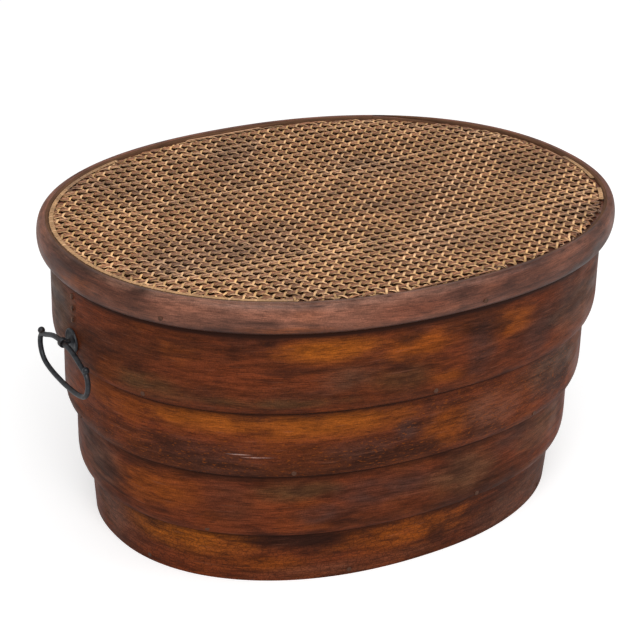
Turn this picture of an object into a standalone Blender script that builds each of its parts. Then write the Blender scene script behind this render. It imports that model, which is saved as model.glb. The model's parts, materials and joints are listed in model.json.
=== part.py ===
"""An oval box of bent wood with a lift-off caned lid and a dropped iron bail at each end.

Four bent hoops step in one below the other. Each is a board bent round an oval, with its two ends
scarfed, lapped and laced with a thong, and pegged to the head of the hoop below, which stands inside
it. The lid is a bullnosed bent rim with a thin lip under it and a cane panel in its rebate.
Metres, +Z up. The origin is on the floor, at the centre of the oval. The long axis is X.
"""

import math

import bmesh
import bpy
from mathutils import Matrix, Vector

# Driving sizes of the oval and of the stack of hoops
LID_LENGTH = 0.635
LID_WIDTH = 0.5040
OVAL_POWER = 2.165
FACETS = 52
BASE_RISE = 0.0584
LOWER_RISE = 0.0751
MIDDLE_RISE = 0.0768
UPPER_RISE = 0.0939
RIM_HEIGHT = 0.0323

# How far each hoop's face is set in from the rim's outer line
UPPER_SETBACK = 0.0129
MIDDLE_STEP = 0.0111
LOWER_STEP = 0.0119
BASE_STEP = 0.0130
BASE_WALL = 0.0100
BASE_TAPER = 0.0045

# Shape of a hoop's board
HEAD_COVER = 0.0160
ROUND_HEIGHT = 0.0270
ROUND_POWER = 2.6
ROUND_HEIGHT_SHARES = (0.50, 0.83, 1.0)
EDGE_WIDTH = 0.0014
LAP_LENGTH = 0.0800
LAP_TIP_SHARE = 0.14

# Fits
FIT = 0.0003
CUT_OVERRUN = 0.0030
MERGE = 0.00001

# Where each lap ends, as a share of the way round from the right-hand end
UPPER_LAP_SHARE = 0.505
MIDDLE_LAP_SHARE = 0.330
LOWER_LAP_SHARE = 0.205
BASE_LAP_SHARE = 0.270
RIM_LAP_SHARE = 0.155
LIP_LAP_SHARE = 0.655

# Lacing through each lap
THONG_RADIUS = 0.0010
THONG_PLAY = 0.0004
THONG_SIDES = 6
LACE_PITCH = 0.0068
LACE_EDGE = 0.0060
LACE_CLEARANCE = 0.0020
UPPER_LACE_HOLES = 4
MIDDLE_LACE_HOLES = 5
LOWER_LACE_HOLES = 5
UPPER_LACE_DROP = 0.0180
MIDDLE_LACE_DROP = 0.0120
LOWER_LACE_DROP = 0.0120
BASE_LACE_DROP = 0.0100

# Wooden pegs
PEG_RADIUS = 0.0025
PEG_SIDES = 8
PEG_PLAY = 0.0003
HOOP_PEG_RISE = 0.0090
HOOP_PEGS = 6
HOOP_PEG_START_SHARES = (0.075, 0.158, 0.108)
BOTTOM_PEGS = 6
BOTTOM_PEG_START_SHARE = 0.0417
BOTTOM_PEG_BITE = 0.0120
LID_PEGS = 6
LID_PEG_START_SHARE = 0.092
LID_PEG_RISE = 0.0085

# Bottom boards
BOTTOM_THICKNESS = 0.0120
MIDDLE_PLANK_WIDTH = 0.1500

# Lid
BULLNOSE_INSET = 0.0060
BULLNOSE_HEIGHT_SHARES = (-1.0, -0.85, -0.5, 0.0, 0.5, 0.85, 1.0)
RIM_WIDTH = 0.0248
REBATE_INSET = 0.0132
REBATE_DEPTH = 0.0042
LIP_THICKNESS = 0.0060
LIP_DEPTH = 0.0140
LIP_BITE = 0.0180
CANE_THICKNESS = 0.0015
CANE_BORDER = 0.0075
CANE_GAP_PITCH = 0.0420
CANE_GAP_WIDTH_SHARE = 0.60
CANE_GAP_SIDES = 8
CANE_MARGIN = 0.0015
BINDER_WIDTH = 0.0045
BINDER_THICKNESS = 0.0014

# Handles
HANDLE_RISE = 0.0288
BAIL_HALF_SPAN = 0.0524
BAIL_DROP = 0.0468
BAIL_RADIUS = 0.0027
BAIL_SIDES = 8
BAIL_BALL_RADIUS = 0.0038
BAIL_BALL_SIDES = 10
BAIL_BALL_RINGS = 6
BAIL_PLAY = 0.0005
BAIL_STAND_OFF = 0.0105
BAIL_SHARES = (
    (0.00, 0.00), (0.15, 0.00), (0.28, -0.01), (0.45, -0.04), (0.62, -0.10), (0.78, -0.17),
    (0.91, -0.22), (1.02, -0.27), (1.08, -0.37), (1.10, -0.50), (1.075, -0.64), (1.01, -0.77),
    (0.89, -0.87), (0.72, -0.93), (0.50, -0.97), (0.25, -0.99), (0.00, -1.00),
)
BAIL_BALL_SHARES = (1.02, -0.179)
STRAP_WIDTH = 0.0055
STRAP_THICKNESS = 0.0019
STRAP_SLIT = 0.0004
STRAP_EYE_STEPS = 12
STRAP_LEG = 0.0090
ROSETTE_RADIUS = 0.0130
ROSETTE_RIM = 0.0014
ROSETTE_CROWN = 0.0034
ROSETTE_CROWN_SHARE = 0.55
ROSETTE_SIDES = 24

# Sizes that follow
HALF_LENGTH = LID_LENGTH / 2
HALF_WIDTH = LID_WIDTH / 2
LOWER_EDGE = BASE_RISE
BASE_LACE_RUN = LOWER_EDGE - BASE_LACE_DROP - BOTTOM_THICKNESS - LACE_CLEARANCE
BASE_LACE_HOLES = math.floor(BASE_LACE_RUN / LACE_PITCH)
MIDDLE_EDGE = LOWER_EDGE + LOWER_RISE
UPPER_EDGE = MIDDLE_EDGE + MIDDLE_RISE
BOX_HEIGHT = UPPER_EDGE + UPPER_RISE
MIDDLE_SETBACK = UPPER_SETBACK + MIDDLE_STEP
LOWER_SETBACK = MIDDLE_SETBACK + LOWER_STEP
BASE_SETBACK = LOWER_SETBACK + BASE_STEP
UPPER_INSIDE = MIDDLE_SETBACK - FIT
MIDDLE_INSIDE = LOWER_SETBACK - FIT
LOWER_INSIDE = BASE_SETBACK - FIT
BASE_INSIDE = BASE_SETBACK + BASE_WALL
RIM_FLOOR = BOX_HEIGHT + FIT
RIM_TOP = RIM_FLOOR + RIM_HEIGHT
RIM_MIDDLE = (RIM_FLOOR + RIM_TOP) / 2
LIP_SETBACK = RIM_WIDTH + FIT
LIP_FLOOR = RIM_FLOOR - LIP_DEPTH
LIP_TOP = RIM_FLOOR + LIP_BITE
WALL_END = HALF_LENGTH - UPPER_SETBACK
BAIL_PLANE = WALL_END + BAIL_STAND_OFF
HANDLE_HEIGHT = UPPER_EDGE + HANDLE_RISE


def material(name, colour, roughness, metallic):
    made = bpy.data.materials.new(name)
    made.use_nodes = True
    shader = made.node_tree.nodes["Principled BSDF"]
    shader.inputs["Base Color"].default_value = (*colour, 1.0)
    shader.inputs["Roughness"].default_value = roughness
    shader.inputs["Metallic"].default_value = metallic
    return made


def new_object(name, mesh, finish):
    piece = bpy.data.objects.new(name, mesh)
    mesh.materials.append(finish)
    bpy.context.scene.collection.objects.link(piece)
    return piece


def object_from_bmesh(name, shape, finish):
    bmesh.ops.recalc_face_normals(shape, faces=shape.faces)
    mesh = bpy.data.meshes.new(name)
    shape.to_mesh(mesh)
    shape.free()
    return new_object(name, mesh, finish)


def oval_corner(index, setback):
    """One corner of the faceted oval that lies this far inside the rim's outer line."""
    turn = 2 * math.pi * index / FACETS
    x = (HALF_LENGTH - setback) * math.copysign(abs(math.cos(turn)) ** (2 / OVAL_POWER), math.cos(turn))
    y = (HALF_WIDTH - setback) * math.copysign(abs(math.sin(turn)) ** (2 / OVAL_POWER), math.sin(turn))
    return Vector((x, y, 0))


def wall_point(station, setback, height):
    """A point on the faceted wall. A whole station is a corner and a half one is mid-facet."""
    index = math.floor(station)
    start = oval_corner(index, setback)
    end = oval_corner(index + 1, setback)
    point = start.lerp(end, station - index)
    point.z = height
    return point


def outward(station):
    """The horizontal normal of the facet at a station."""
    index = math.floor(station)
    along = oval_corner(index + 1, 0) - oval_corner(index, 0)
    return Vector((along.y, -along.x, 0)).normalized()


def facet_length(station, setback):
    index = math.floor(station)
    return (oval_corner(index + 1, setback) - oval_corner(index, setback)).length


def mid_facet(share):
    """The middle of the facet that lies this share of the way round."""
    return math.floor(share * FACETS) + 0.5


def loft(shape, rings):
    """Joins rings of equal count into a closed skin with a cap at each end."""
    rows = [[shape.verts.new(point) for point in ring] for ring in rings]
    for near, far in zip(rows, rows[1:]):
        for index in range(len(near)):
            after = (index + 1) % len(near)
            shape.faces.new((near[index], near[after], far[after], far[index]))
    shape.faces.new(rows[0])
    shape.faces.new(rows[-1])


def hoop_cuts(lap_end, span, gap):
    """Stations round a hoop, each with how far its inner and outer skins lie into the wall.

    The first entry of a skin is a share of the wall and the second a shift by half the glue gap.
    """
    seam = lap_end - span

    def parting(station):
        return LAP_TIP_SHARE + (1 - 2 * LAP_TIP_SHARE) * (station - seam) / span

    full_in = (0.0, 0)
    full_out = (1.0, 0)
    cuts = []
    corners = [k for k in range(math.ceil(seam), math.ceil(seam) + FACETS + math.ceil(span) + 1)]
    head = [seam] + [k for k in corners if seam + gap < k < seam + span - gap]
    for station in head + [seam + span, seam + span + gap]:
        cuts.append((station, full_in, (parting(min(station, seam + span)), -1)))
    first = seam + FACETS - 2 * gap
    middle = [k for k in corners if seam + span + 3 * gap < k < first - gap]
    for station in [seam + span + 2 * gap] + middle:
        cuts.append((station, full_in, full_out))
    cuts.append((first, full_in, full_out))
    cuts.append((first + gap, (parting(seam), 1), full_out))
    last = seam + FACETS
    for station in [last] + [k for k in corners if last + gap < k < last + span - gap] + [last + span]:
        cuts.append((station, (parting(station - FACETS), 1), full_out))
    return cuts


def hoop(name, levels, lap_share, finish):
    """A board bent round the oval, its ends scarfed and lapped. Each level is (height, inside, outside)."""
    lap_end = lap_share * FACETS
    length = facet_length(lap_end, levels[0][2])
    span = LAP_LENGTH / length
    gap = FIT / length
    rings = []
    for station, (low, low_side), (high, high_side) in hoop_cuts(lap_end, span, gap):
        outer = []
        inner = []
        for height, deep, shallow in levels:
            # Setbacks grow inwards, so a share of 1 is the outer face.
            outer_skin = deep + (shallow - deep) * high - high_side * FIT / 2
            inner_skin = deep + (shallow - deep) * low - low_side * FIT / 2
            outer.append(wall_point(station, outer_skin, height))
            inner.append(wall_point(station, inner_skin, height))
        rings.append(outer + inner[::-1])
    shape = bmesh.new()
    loft(shape, rings)
    bmesh.ops.remove_doubles(shape, verts=shape.verts, dist=MERGE)
    bmesh.ops.recalc_face_normals(shape, faces=shape.faces)
    merge_flat_faces(shape)
    return object_from_bmesh(name, shape, finish)


def merge_flat_faces(shape):
    """Joins the faces of each upright facet that lie in one plane."""
    shape.normal_update()
    level = [edge for edge in shape.edges if abs(edge.verts[0].co.z - edge.verts[1].co.z) < MERGE]
    upright = [edge for edge in level if all(abs(face.normal.z) < 0.5 for face in edge.link_faces)]
    corners = list({corner for edge in upright for corner in edge.verts})
    bmesh.ops.dissolve_limit(shape, angle_limit=math.radians(0.1), verts=corners, edges=upright)


def hoop_levels(edge, top, inside, outside):
    """The section of a hoop whose lower edge is rounded in towards the hoop below."""
    reach = inside - outside - EDGE_WIDTH
    levels = [(top, inside, outside), (edge + ROUND_HEIGHT, inside, outside)]
    for share in ROUND_HEIGHT_SHARES:
        turned = 1 - (1 - share ** ROUND_POWER) ** (1 / ROUND_POWER)
        levels.append((edge + ROUND_HEIGHT * (1 - share), inside, outside + reach * turned))
    return levels


def face_at(levels, height):
    """How far the outer face is set in at a height between two of a hoop's levels."""
    for (above, _, shallow), (below, _, deep) in zip(levels, levels[1:]):
        if below <= height <= above and above > below:
            return deep + (shallow - deep) * (height - below) / (above - below)
    return levels[0][2]


def rod(shape, start, end, radius, sides):
    """A round bar from start to end, added to a bmesh."""
    along = end - start
    place = Matrix.Translation((start + end) / 2) @ along.to_track_quat("Z", "Y").to_matrix().to_4x4()
    bmesh.ops.create_cone(
        shape,
        cap_ends=True,
        segments=sides,
        radius1=radius,
        radius2=radius,
        depth=along.length,
        matrix=place,
    )


def cut(targets, name, shape, solver="EXACT"):
    """Cuts the shape out of each target with a Boolean, and keeps it as a hidden helper."""
    bmesh.ops.recalc_face_normals(shape, faces=shape.faces)
    mesh = bpy.data.meshes.new(name)
    shape.to_mesh(mesh)
    shape.free()
    tool = bpy.data.objects.new(name, mesh)
    bpy.context.scene.collection.objects.link(tool)
    tool.hide_render = True
    tool.display_type = "WIRE"
    for target in targets:
        modifier = target.modifiers.new(name, "BOOLEAN")
        modifier.operation = "DIFFERENCE"
        modifier.solver = solver
        modifier.object = tool


def peg_ends(station, outside, inside, height):
    """The two ends of a peg that runs square through the wall at a station."""
    start = wall_point(station, outside, height)
    normal = outward(station)
    depth = (start - wall_point(station, inside, height)).dot(normal)
    return start, start - normal * depth, normal


def pegs(name, count, start_share, outside, inside, height, targets, finish):
    """A ring of pegs and the holes that they stand in."""
    holes = bmesh.new()
    for number in range(count):
        station = mid_facet(start_share + number / count)
        start, end, normal = peg_ends(station, outside, inside, height)
        shape = bmesh.new()
        rod(shape, start, end, PEG_RADIUS, PEG_SIDES)
        peg = object_from_bmesh(f"{name}_{number + 1}", shape, finish)
        peg.data.shade_smooth()
        peg.data.set_sharp_from_angle(angle=math.radians(40))
        overrun = normal * CUT_OVERRUN
        rod(holes, start + overrun, end - overrun, PEG_RADIUS + PEG_PLAY, PEG_SIDES)
    cut(targets, f"{name}_holes", holes)


def sweep(shape, path, side, section, closed):
    """Runs a section of (along side, along its cross) pairs down a flat path, with mitred corners."""
    count = len(path)
    rings = []
    for index, point in enumerate(path):
        before = path[index - 1] if index or closed else point
        after = path[(index + 1) % count] if index + 1 < count or closed else point
        leaving = (after - point).normalized()
        arriving = (point - before).normalized() if (point - before).length else leaving
        leaving = leaving if (after - point).length else arriving
        along = (arriving + leaving).normalized()
        across = side.cross(along).normalized()
        stretch = 1 / max(along.dot(leaving), math.cos(math.radians(60)))
        rings.append([point + side * u + across * (v * stretch) for u, v in section])
    if not closed:
        loft(shape, rings)
        return
    rows = [[shape.verts.new(corner) for corner in ring] for ring in rings]
    for near, far in zip(rows, rows[1:] + rows[:1]):
        for index in range(len(near)):
            follower = (index + 1) % len(near)
            shape.faces.new((near[index], near[follower], far[follower], far[index]))


def round_section(radius, sides):
    turns = [2 * math.pi * (k + 0.5) / sides for k in range(sides)]
    return [(radius * math.cos(turn), radius * math.sin(turn)) for turn in turns]


def lacing(name, board, lap_share, inside, outside, first_hole, holes, finish):
    """A running stitch down the lap, close to the tip of its outer end."""
    station = lap_share * FACETS - LACE_EDGE / facet_length(lap_share * FACETS, outside)
    normal = outward(station)
    face = wall_point(station, outside, 0)
    depth = (face - wall_point(station, inside, 0)).dot(normal)
    stand_off = FIT + THONG_RADIUS
    corner = THONG_RADIUS

    def at(out, height):
        return face + normal * out + Vector((0, 0, height))

    path = [at(stand_off, first_hole + LACE_PITCH)]
    cutters = bmesh.new()
    for number in range(holes):
        height = first_hole - number * LACE_PITCH
        leaving = -depth - stand_off if number % 2 == 0 else stand_off
        arriving = stand_off if number % 2 == 0 else -depth - stand_off
        inward_step = math.copysign(corner, leaving - arriving)
        path.append(at(arriving, height + corner))
        path.append(at(arriving + inward_step, height))
        path.append(at(leaving - inward_step, height))
        path.append(at(leaving, height - corner))
        rod(
            cutters,
            at(CUT_OVERRUN, height),
            at(-depth - CUT_OVERRUN, height),
            THONG_RADIUS + THONG_PLAY,
            THONG_SIDES,
        )
    path.append(at(stand_off if holes % 2 == 0 else -depth - stand_off, first_hole - holes * LACE_PITCH))
    shape = bmesh.new()
    sweep(shape, path, normal.cross(Vector((0, 0, 1))), round_section(THONG_RADIUS, THONG_SIDES), False)
    thong = object_from_bmesh(name, shape, finish)
    thong.data.shade_smooth()
    cut([board], f"{name}_holes", cutters)
    return thong


def box(shape, low, high):
    size = Vector(high) - Vector(low)
    place = Matrix.Translation((Vector(high) + Vector(low)) / 2) @ Matrix.Diagonal((*size, 1.0))
    bmesh.ops.create_cube(shape, size=1.0, matrix=place)


def oval_plate(shape, floor, floor_setback, top, top_setback):
    """A solid oval board with a level floor and top."""
    loft(
        shape,
        [
            [wall_point(k, floor_setback, floor) for k in range(FACETS)],
            [wall_point(k, top_setback, top) for k in range(FACETS)],
        ],
    )


def bottom_plank(name, near, far, finish):
    """The part of the oval bottom that lies between two cuts along X."""
    shape = bmesh.new()
    taper = BASE_TAPER * BOTTOM_THICKNESS / BASE_RISE
    edge = BASE_INSIDE + BASE_TAPER + FIT
    oval_plate(shape, 0, edge, BOTTOM_THICKNESS, edge - taper)
    for place, turned in ((near, -1), (far, 1)):
        faces = list(shape.faces) + list(shape.edges) + list(shape.verts)
        sliced = bmesh.ops.bisect_plane(
            shape,
            geom=faces,
            plane_co=(0, place, 0),
            plane_no=(0, turned, 0),
            clear_outer=True,
        )
        rim = [item for item in sliced["geom_cut"] if isinstance(item, bmesh.types.BMEdge)]
        if rim:
            bmesh.ops.contextual_create(shape, geom=rim)
    return object_from_bmesh(name, shape, finish)


def base_box(finish_wood, finish_peg, finish_thong):
    """The four hoops, their lacing and pegs, and the bottom boards."""
    upper_levels = hoop_levels(UPPER_EDGE, BOX_HEIGHT, UPPER_INSIDE, UPPER_SETBACK)
    middle_levels = hoop_levels(MIDDLE_EDGE, UPPER_EDGE + HEAD_COVER, MIDDLE_INSIDE, MIDDLE_SETBACK)
    lower_levels = hoop_levels(LOWER_EDGE, MIDDLE_EDGE + HEAD_COVER, LOWER_INSIDE, LOWER_SETBACK)
    base_levels = [
        (LOWER_EDGE + HEAD_COVER, BASE_INSIDE, BASE_SETBACK),
        (LOWER_EDGE, BASE_INSIDE, BASE_SETBACK),
        (0, BASE_INSIDE + BASE_TAPER, BASE_SETBACK + BASE_TAPER),
    ]
    upper = hoop("upper_hoop", upper_levels, UPPER_LAP_SHARE, finish_wood)
    middle = hoop("middle_hoop", middle_levels, MIDDLE_LAP_SHARE, finish_wood)
    lower = hoop("lower_hoop", lower_levels, LOWER_LAP_SHARE, finish_wood)
    base = hoop("base_hoop", base_levels, BASE_LAP_SHARE, finish_wood)
    planks = [
        bottom_plank("bottom_plank_front", -HALF_WIDTH, -(MIDDLE_PLANK_WIDTH + FIT) / 2, finish_wood),
        bottom_plank("bottom_plank_middle", -MIDDLE_PLANK_WIDTH / 2, MIDDLE_PLANK_WIDTH / 2, finish_wood),
        bottom_plank("bottom_plank_back", (MIDDLE_PLANK_WIDTH + FIT) / 2, HALF_WIDTH, finish_wood),
    ]
    laced = (
        ("upper", upper, UPPER_LAP_SHARE, UPPER_INSIDE, UPPER_SETBACK, BOX_HEIGHT - UPPER_LACE_DROP,
         UPPER_LACE_HOLES),
        ("middle", middle, MIDDLE_LAP_SHARE, MIDDLE_INSIDE, MIDDLE_SETBACK, UPPER_EDGE - MIDDLE_LACE_DROP,
         MIDDLE_LACE_HOLES),
        ("lower", lower, LOWER_LAP_SHARE, LOWER_INSIDE, LOWER_SETBACK, MIDDLE_EDGE - LOWER_LACE_DROP,
         LOWER_LACE_HOLES),
        ("base", base, BASE_LAP_SHARE, BASE_INSIDE + BASE_TAPER, BASE_SETBACK, LOWER_EDGE - BASE_LACE_DROP,
         BASE_LACE_HOLES),
    )
    for name, board, share, inside, outside, first_hole, holes in laced:
        lacing(f"{name}_lacing", board, share, inside, outside, first_hole, holes, finish_thong)
    joints = (
        ("upper_peg", [upper, middle], upper_levels, MIDDLE_INSIDE, UPPER_EDGE),
        ("middle_peg", [middle, lower], middle_levels, LOWER_INSIDE, MIDDLE_EDGE),
        ("lower_peg", [lower, base], lower_levels, BASE_INSIDE, LOWER_EDGE),
    )
    for (name, boards, levels, inside, edge), start in zip(joints, HOOP_PEG_START_SHARES):
        height = edge + HOOP_PEG_RISE
        pegs(name, HOOP_PEGS, start, face_at(levels, height), inside, height, boards, finish_peg)
    pegs(
        "bottom_peg",
        BOTTOM_PEGS,
        BOTTOM_PEG_START_SHARE,
        BASE_SETBACK + BASE_TAPER,
        BASE_INSIDE + BASE_TAPER + BOTTOM_PEG_BITE,
        BOTTOM_THICKNESS / 2,
        [base, *planks],
        finish_peg,
    )
    return upper


def lid(finish_wood, finish_peg, finish_cane):
    """The bullnosed rim, its lip and pegs, the cane panel in the rebate and the binder over its edge."""
    half_height = RIM_HEIGHT / 2
    rebate_floor = RIM_TOP - REBATE_DEPTH

    def nose(height):
        return BULLNOSE_INSET * (1 - math.sqrt(max(0, 1 - ((height - RIM_MIDDLE) / half_height) ** 2)))

    heights = [RIM_MIDDLE + half_height * share for share in BULLNOSE_HEIGHT_SHARES[::-1]]
    levels = [(height, RIM_WIDTH, nose(height)) for height in heights]
    rim = hoop("lid_rim", levels, RIM_LAP_SHARE, finish_wood)
    rebate = bmesh.new()
    oval_plate(rebate, rebate_floor, REBATE_INSET, RIM_TOP + CUT_OVERRUN, REBATE_INSET)
    # The exact solver drops the whole lapped rim at this cut, and both meshes are closed.
    cut([rim], "rim_rebate", rebate, solver="MANIFOLD")
    lip_inside = LIP_SETBACK + LIP_THICKNESS
    lip_levels = [(LIP_TOP, lip_inside, LIP_SETBACK), (LIP_FLOOR, lip_inside, LIP_SETBACK)]
    lip = hoop("lid_lip", lip_levels, LIP_LAP_SHARE, finish_wood)
    pegs(
        "lid_peg",
        LID_PEGS,
        LID_PEG_START_SHARE,
        nose(RIM_FLOOR + LID_PEG_RISE),
        lip_inside,
        RIM_FLOOR + LID_PEG_RISE,
        [rim, lip],
        finish_peg,
    )
    floor = rebate_floor + FIT
    outer = REBATE_INSET + FIT
    plate = bmesh.new()
    oval_plate(plate, floor, outer, floor + CANE_THICKNESS, outer)
    panel = object_from_bmesh("cane_panel", plate, finish_cane)
    cut([panel], "cane_gaps", cane_gaps(floor, outer + CANE_BORDER))
    binder_floor = floor + CANE_THICKNESS + FIT
    binder_levels = [
        (binder_floor + BINDER_THICKNESS, outer + BINDER_WIDTH, outer),
        (binder_floor, outer + BINDER_WIDTH, outer),
    ]
    ring("cane_binder", binder_levels, finish_cane)


def ring(name, levels, finish):
    """A closed band round the oval, with the section of a hoop."""
    shape = bmesh.new()
    rows = []
    for station in range(FACETS):
        outer = [wall_point(station, shallow, height) for height, deep, shallow in levels]
        inner = [wall_point(station, deep, height) for height, deep, shallow in levels]
        rows.append([shape.verts.new(point) for point in outer + inner[::-1]])
    for near, far in zip(rows, rows[1:] + rows[:1]):
        for index in range(len(near)):
            after = (index + 1) % len(near)
            shape.faces.new((near[index], near[after], far[after], far[index]))
    return object_from_bmesh(name, shape, finish)


def cane_gaps(floor, border):
    """The eight-sided gaps of the weave: a square grid, as far as it fits inside the border."""
    shape = bmesh.new()
    radius = CANE_GAP_PITCH * CANE_GAP_WIDTH_SHARE / 2 / math.cos(math.pi / CANE_GAP_SIDES)
    reach_x = HALF_LENGTH - border - radius - CANE_MARGIN
    reach_y = HALF_WIDTH - border - radius - CANE_MARGIN
    columns = math.floor(reach_x / CANE_GAP_PITCH) + 1
    rows = math.floor(reach_y / CANE_GAP_PITCH) + 1
    for column in range(-columns, columns + 1):
        for row in range(-rows, rows + 1):
            x = column * CANE_GAP_PITCH
            y = row * CANE_GAP_PITCH
            if abs(x / reach_x) ** OVAL_POWER + abs(y / reach_y) ** OVAL_POWER > 1:
                continue
            place = Matrix.Translation((x, y, floor + CANE_THICKNESS / 2))
            turn = Matrix.Rotation(math.pi / CANE_GAP_SIDES, 4, "Z")
            bmesh.ops.create_cone(
                shape,
                cap_ends=True,
                segments=CANE_GAP_SIDES,
                radius1=radius,
                radius2=radius,
                depth=CANE_THICKNESS + 2 * CUT_OVERRUN,
                matrix=place @ turn,
            )
    return shape


def bail(name, pivot, finish):
    """A closed iron loop: a bowed top bar that turns in the eye, with a ball at each upper corner."""
    half = [(BAIL_HALF_SPAN * across, BAIL_DROP * down) for across, down in BAIL_SHARES]
    outline = half + [(-across, down) for across, down in half[-2:0:-1]]
    path = [Vector((0, across, down)) for across, down in outline]
    shape = bmesh.new()
    sweep(shape, path, Vector((1, 0, 0)), round_section(BAIL_RADIUS, BAIL_SIDES), True)
    loop = object_from_bmesh(name, shape, finish)
    loop.location = pivot
    balls = bmesh.new()
    for side in (-1, 1):
        place = Matrix.Translation(
            (0, side * BAIL_HALF_SPAN * BAIL_BALL_SHARES[0], BAIL_DROP * BAIL_BALL_SHARES[1])
        )
        bmesh.ops.create_uvsphere(
            balls,
            u_segments=BAIL_BALL_SIDES,
            v_segments=BAIL_BALL_RINGS,
            radius=BAIL_BALL_RADIUS,
            matrix=place,
        )
    mesh = bpy.data.meshes.new(f"{name}_balls")
    balls.to_mesh(mesh)
    balls.free()
    knobs = bpy.data.objects.new(f"{name}_balls", mesh)
    bpy.context.scene.collection.objects.link(knobs)
    knobs.hide_render = True
    knobs.display_type = "WIRE"
    knobs.location = pivot
    modifier = loop.modifiers.new("balls", "BOOLEAN")
    modifier.operation = "UNION"
    modifier.object = knobs
    loop.data.shade_smooth()
    return loop


def split_pin(name, side, finish):
    """An iron strap bent round the bail into an eye. Its two legs pass the wall and spread inside it."""
    eye = BAIL_RADIUS + BAIL_PLAY + STRAP_THICKNESS / 2
    leg = (STRAP_THICKNESS + STRAP_SLIT) / 2
    inner_face = HALF_LENGTH - UPPER_INSIDE - FIT - STRAP_THICKNESS / 2
    opening = math.asin(leg / eye)
    points = [(inner_face, leg + STRAP_LEG), (inner_face, leg)]
    for step in range(STRAP_EYE_STEPS + 1):
        turn = math.pi - opening - (2 * math.pi - 2 * opening) * step / STRAP_EYE_STEPS
        points.append((BAIL_PLANE + eye * math.cos(turn), eye * math.sin(turn)))
    points += [(inner_face, -leg), (inner_face, -leg - STRAP_LEG)]
    path = [Vector((side * out, 0, HANDLE_HEIGHT + up)) for out, up in points]
    half_width = STRAP_WIDTH / 2
    half_thick = STRAP_THICKNESS / 2
    section = [
        (-half_width, -half_thick),
        (half_width, -half_thick),
        (half_width, half_thick),
        (-half_width, half_thick),
    ]
    shape = bmesh.new()
    sweep(shape, path, Vector((0, 1, 0)), section, False)
    return object_from_bmesh(name, shape, finish)


def rosette(name, side, finish):
    """A turned iron plate between the eye and the wall, bossed towards its middle."""
    profile = (
        (ROSETTE_RADIUS, 0),
        (ROSETTE_RADIUS, ROSETTE_RIM),
        (ROSETTE_RADIUS * ROSETTE_CROWN_SHARE, ROSETTE_CROWN),
    )
    shape = bmesh.new()
    rings = []
    for radius, out in profile:
        x = side * (WALL_END + FIT + out)
        turns = [2 * math.pi * k / ROSETTE_SIDES for k in range(ROSETTE_SIDES)]
        ring = [(x, radius * math.cos(t), HANDLE_HEIGHT + radius * math.sin(t)) for t in turns]
        rings.append([Vector(corner) for corner in ring])
    loft(shape, rings)
    plate = object_from_bmesh(name, shape, finish)
    plate.data.shade_smooth()
    plate.data.set_sharp_from_angle(angle=math.radians(30))
    return plate


def handle(name, side, wall, finish):
    """The rosette, the split pin and the bail at one end of the box."""
    plate = rosette(f"{name}_rosette", side, finish)
    split_pin(f"{name}_split_pin", side, finish)
    bail(f"{name}_bail", Vector((side * BAIL_PLANE, 0, HANDLE_HEIGHT)), finish)
    slot = bmesh.new()
    half_width = STRAP_WIDTH / 2 + FIT
    half_height = STRAP_THICKNESS + STRAP_SLIT / 2 + FIT
    ends = sorted((side * (HALF_LENGTH - UPPER_INSIDE - CUT_OVERRUN), side * (BAIL_PLANE - BAIL_RADIUS)))
    box(
        slot,
        (ends[0], -half_width, HANDLE_HEIGHT - half_height),
        (ends[1], half_width, HANDLE_HEIGHT + half_height),
    )
    cut([wall, plate], f"{name}_slot", slot)


def main():
    for old in list(bpy.data.objects):
        bpy.data.objects.remove(old, do_unlink=True)
    wood = material("aged_wood", (0.16, 0.05, 0.025), 0.42, 0.0)
    peg_wood = material("peg_wood", (0.11, 0.045, 0.025), 0.5, 0.0)
    thong = material("thong", (0.12, 0.06, 0.035), 0.6, 0.0)
    cane = material("cane", (0.42, 0.24, 0.10), 0.5, 0.0)
    iron = material("black_iron", (0.03, 0.033, 0.035), 0.38, 1.0)
    wall = base_box(wood, peg_wood, thong)
    lid(wood, peg_wood, cane)
    handle("left", -1, wall, iron)
    handle("right", 1, wall, iron)


main()
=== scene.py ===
import json
import math
import random

import bmesh
import bpy
from mathutils import Matrix, Vector

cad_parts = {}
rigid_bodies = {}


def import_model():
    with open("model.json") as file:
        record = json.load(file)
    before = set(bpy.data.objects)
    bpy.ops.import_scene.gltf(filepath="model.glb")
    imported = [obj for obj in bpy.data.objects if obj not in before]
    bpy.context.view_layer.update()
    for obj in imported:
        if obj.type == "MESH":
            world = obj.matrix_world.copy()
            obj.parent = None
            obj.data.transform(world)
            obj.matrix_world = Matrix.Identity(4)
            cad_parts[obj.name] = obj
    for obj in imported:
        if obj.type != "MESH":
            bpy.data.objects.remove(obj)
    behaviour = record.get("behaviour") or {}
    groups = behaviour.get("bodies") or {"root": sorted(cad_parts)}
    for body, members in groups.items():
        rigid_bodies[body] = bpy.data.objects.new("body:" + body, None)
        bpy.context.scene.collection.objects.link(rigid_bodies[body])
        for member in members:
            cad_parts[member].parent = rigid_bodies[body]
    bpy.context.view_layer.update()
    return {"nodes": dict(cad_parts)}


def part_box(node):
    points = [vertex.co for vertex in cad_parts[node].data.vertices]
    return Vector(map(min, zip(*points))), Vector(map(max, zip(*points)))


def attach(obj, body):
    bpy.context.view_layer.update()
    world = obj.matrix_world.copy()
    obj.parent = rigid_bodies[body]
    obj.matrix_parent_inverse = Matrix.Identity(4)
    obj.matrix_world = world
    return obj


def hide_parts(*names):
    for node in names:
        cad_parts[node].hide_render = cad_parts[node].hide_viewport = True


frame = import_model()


# The base hoop
# The lowest of four bent boards, and the one that the box stands on. It is a straight board of red
# hardwood, scarfed at both ends, steamed, bent round an oval, lapped and laced, and it leans in to the floor.
rim_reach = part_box("lid_rim")[1]
HALF_LENGTH = rim_reach.x
HALF_WIDTH = rim_reach.y
OVAL_POWER = 2.165
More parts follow.
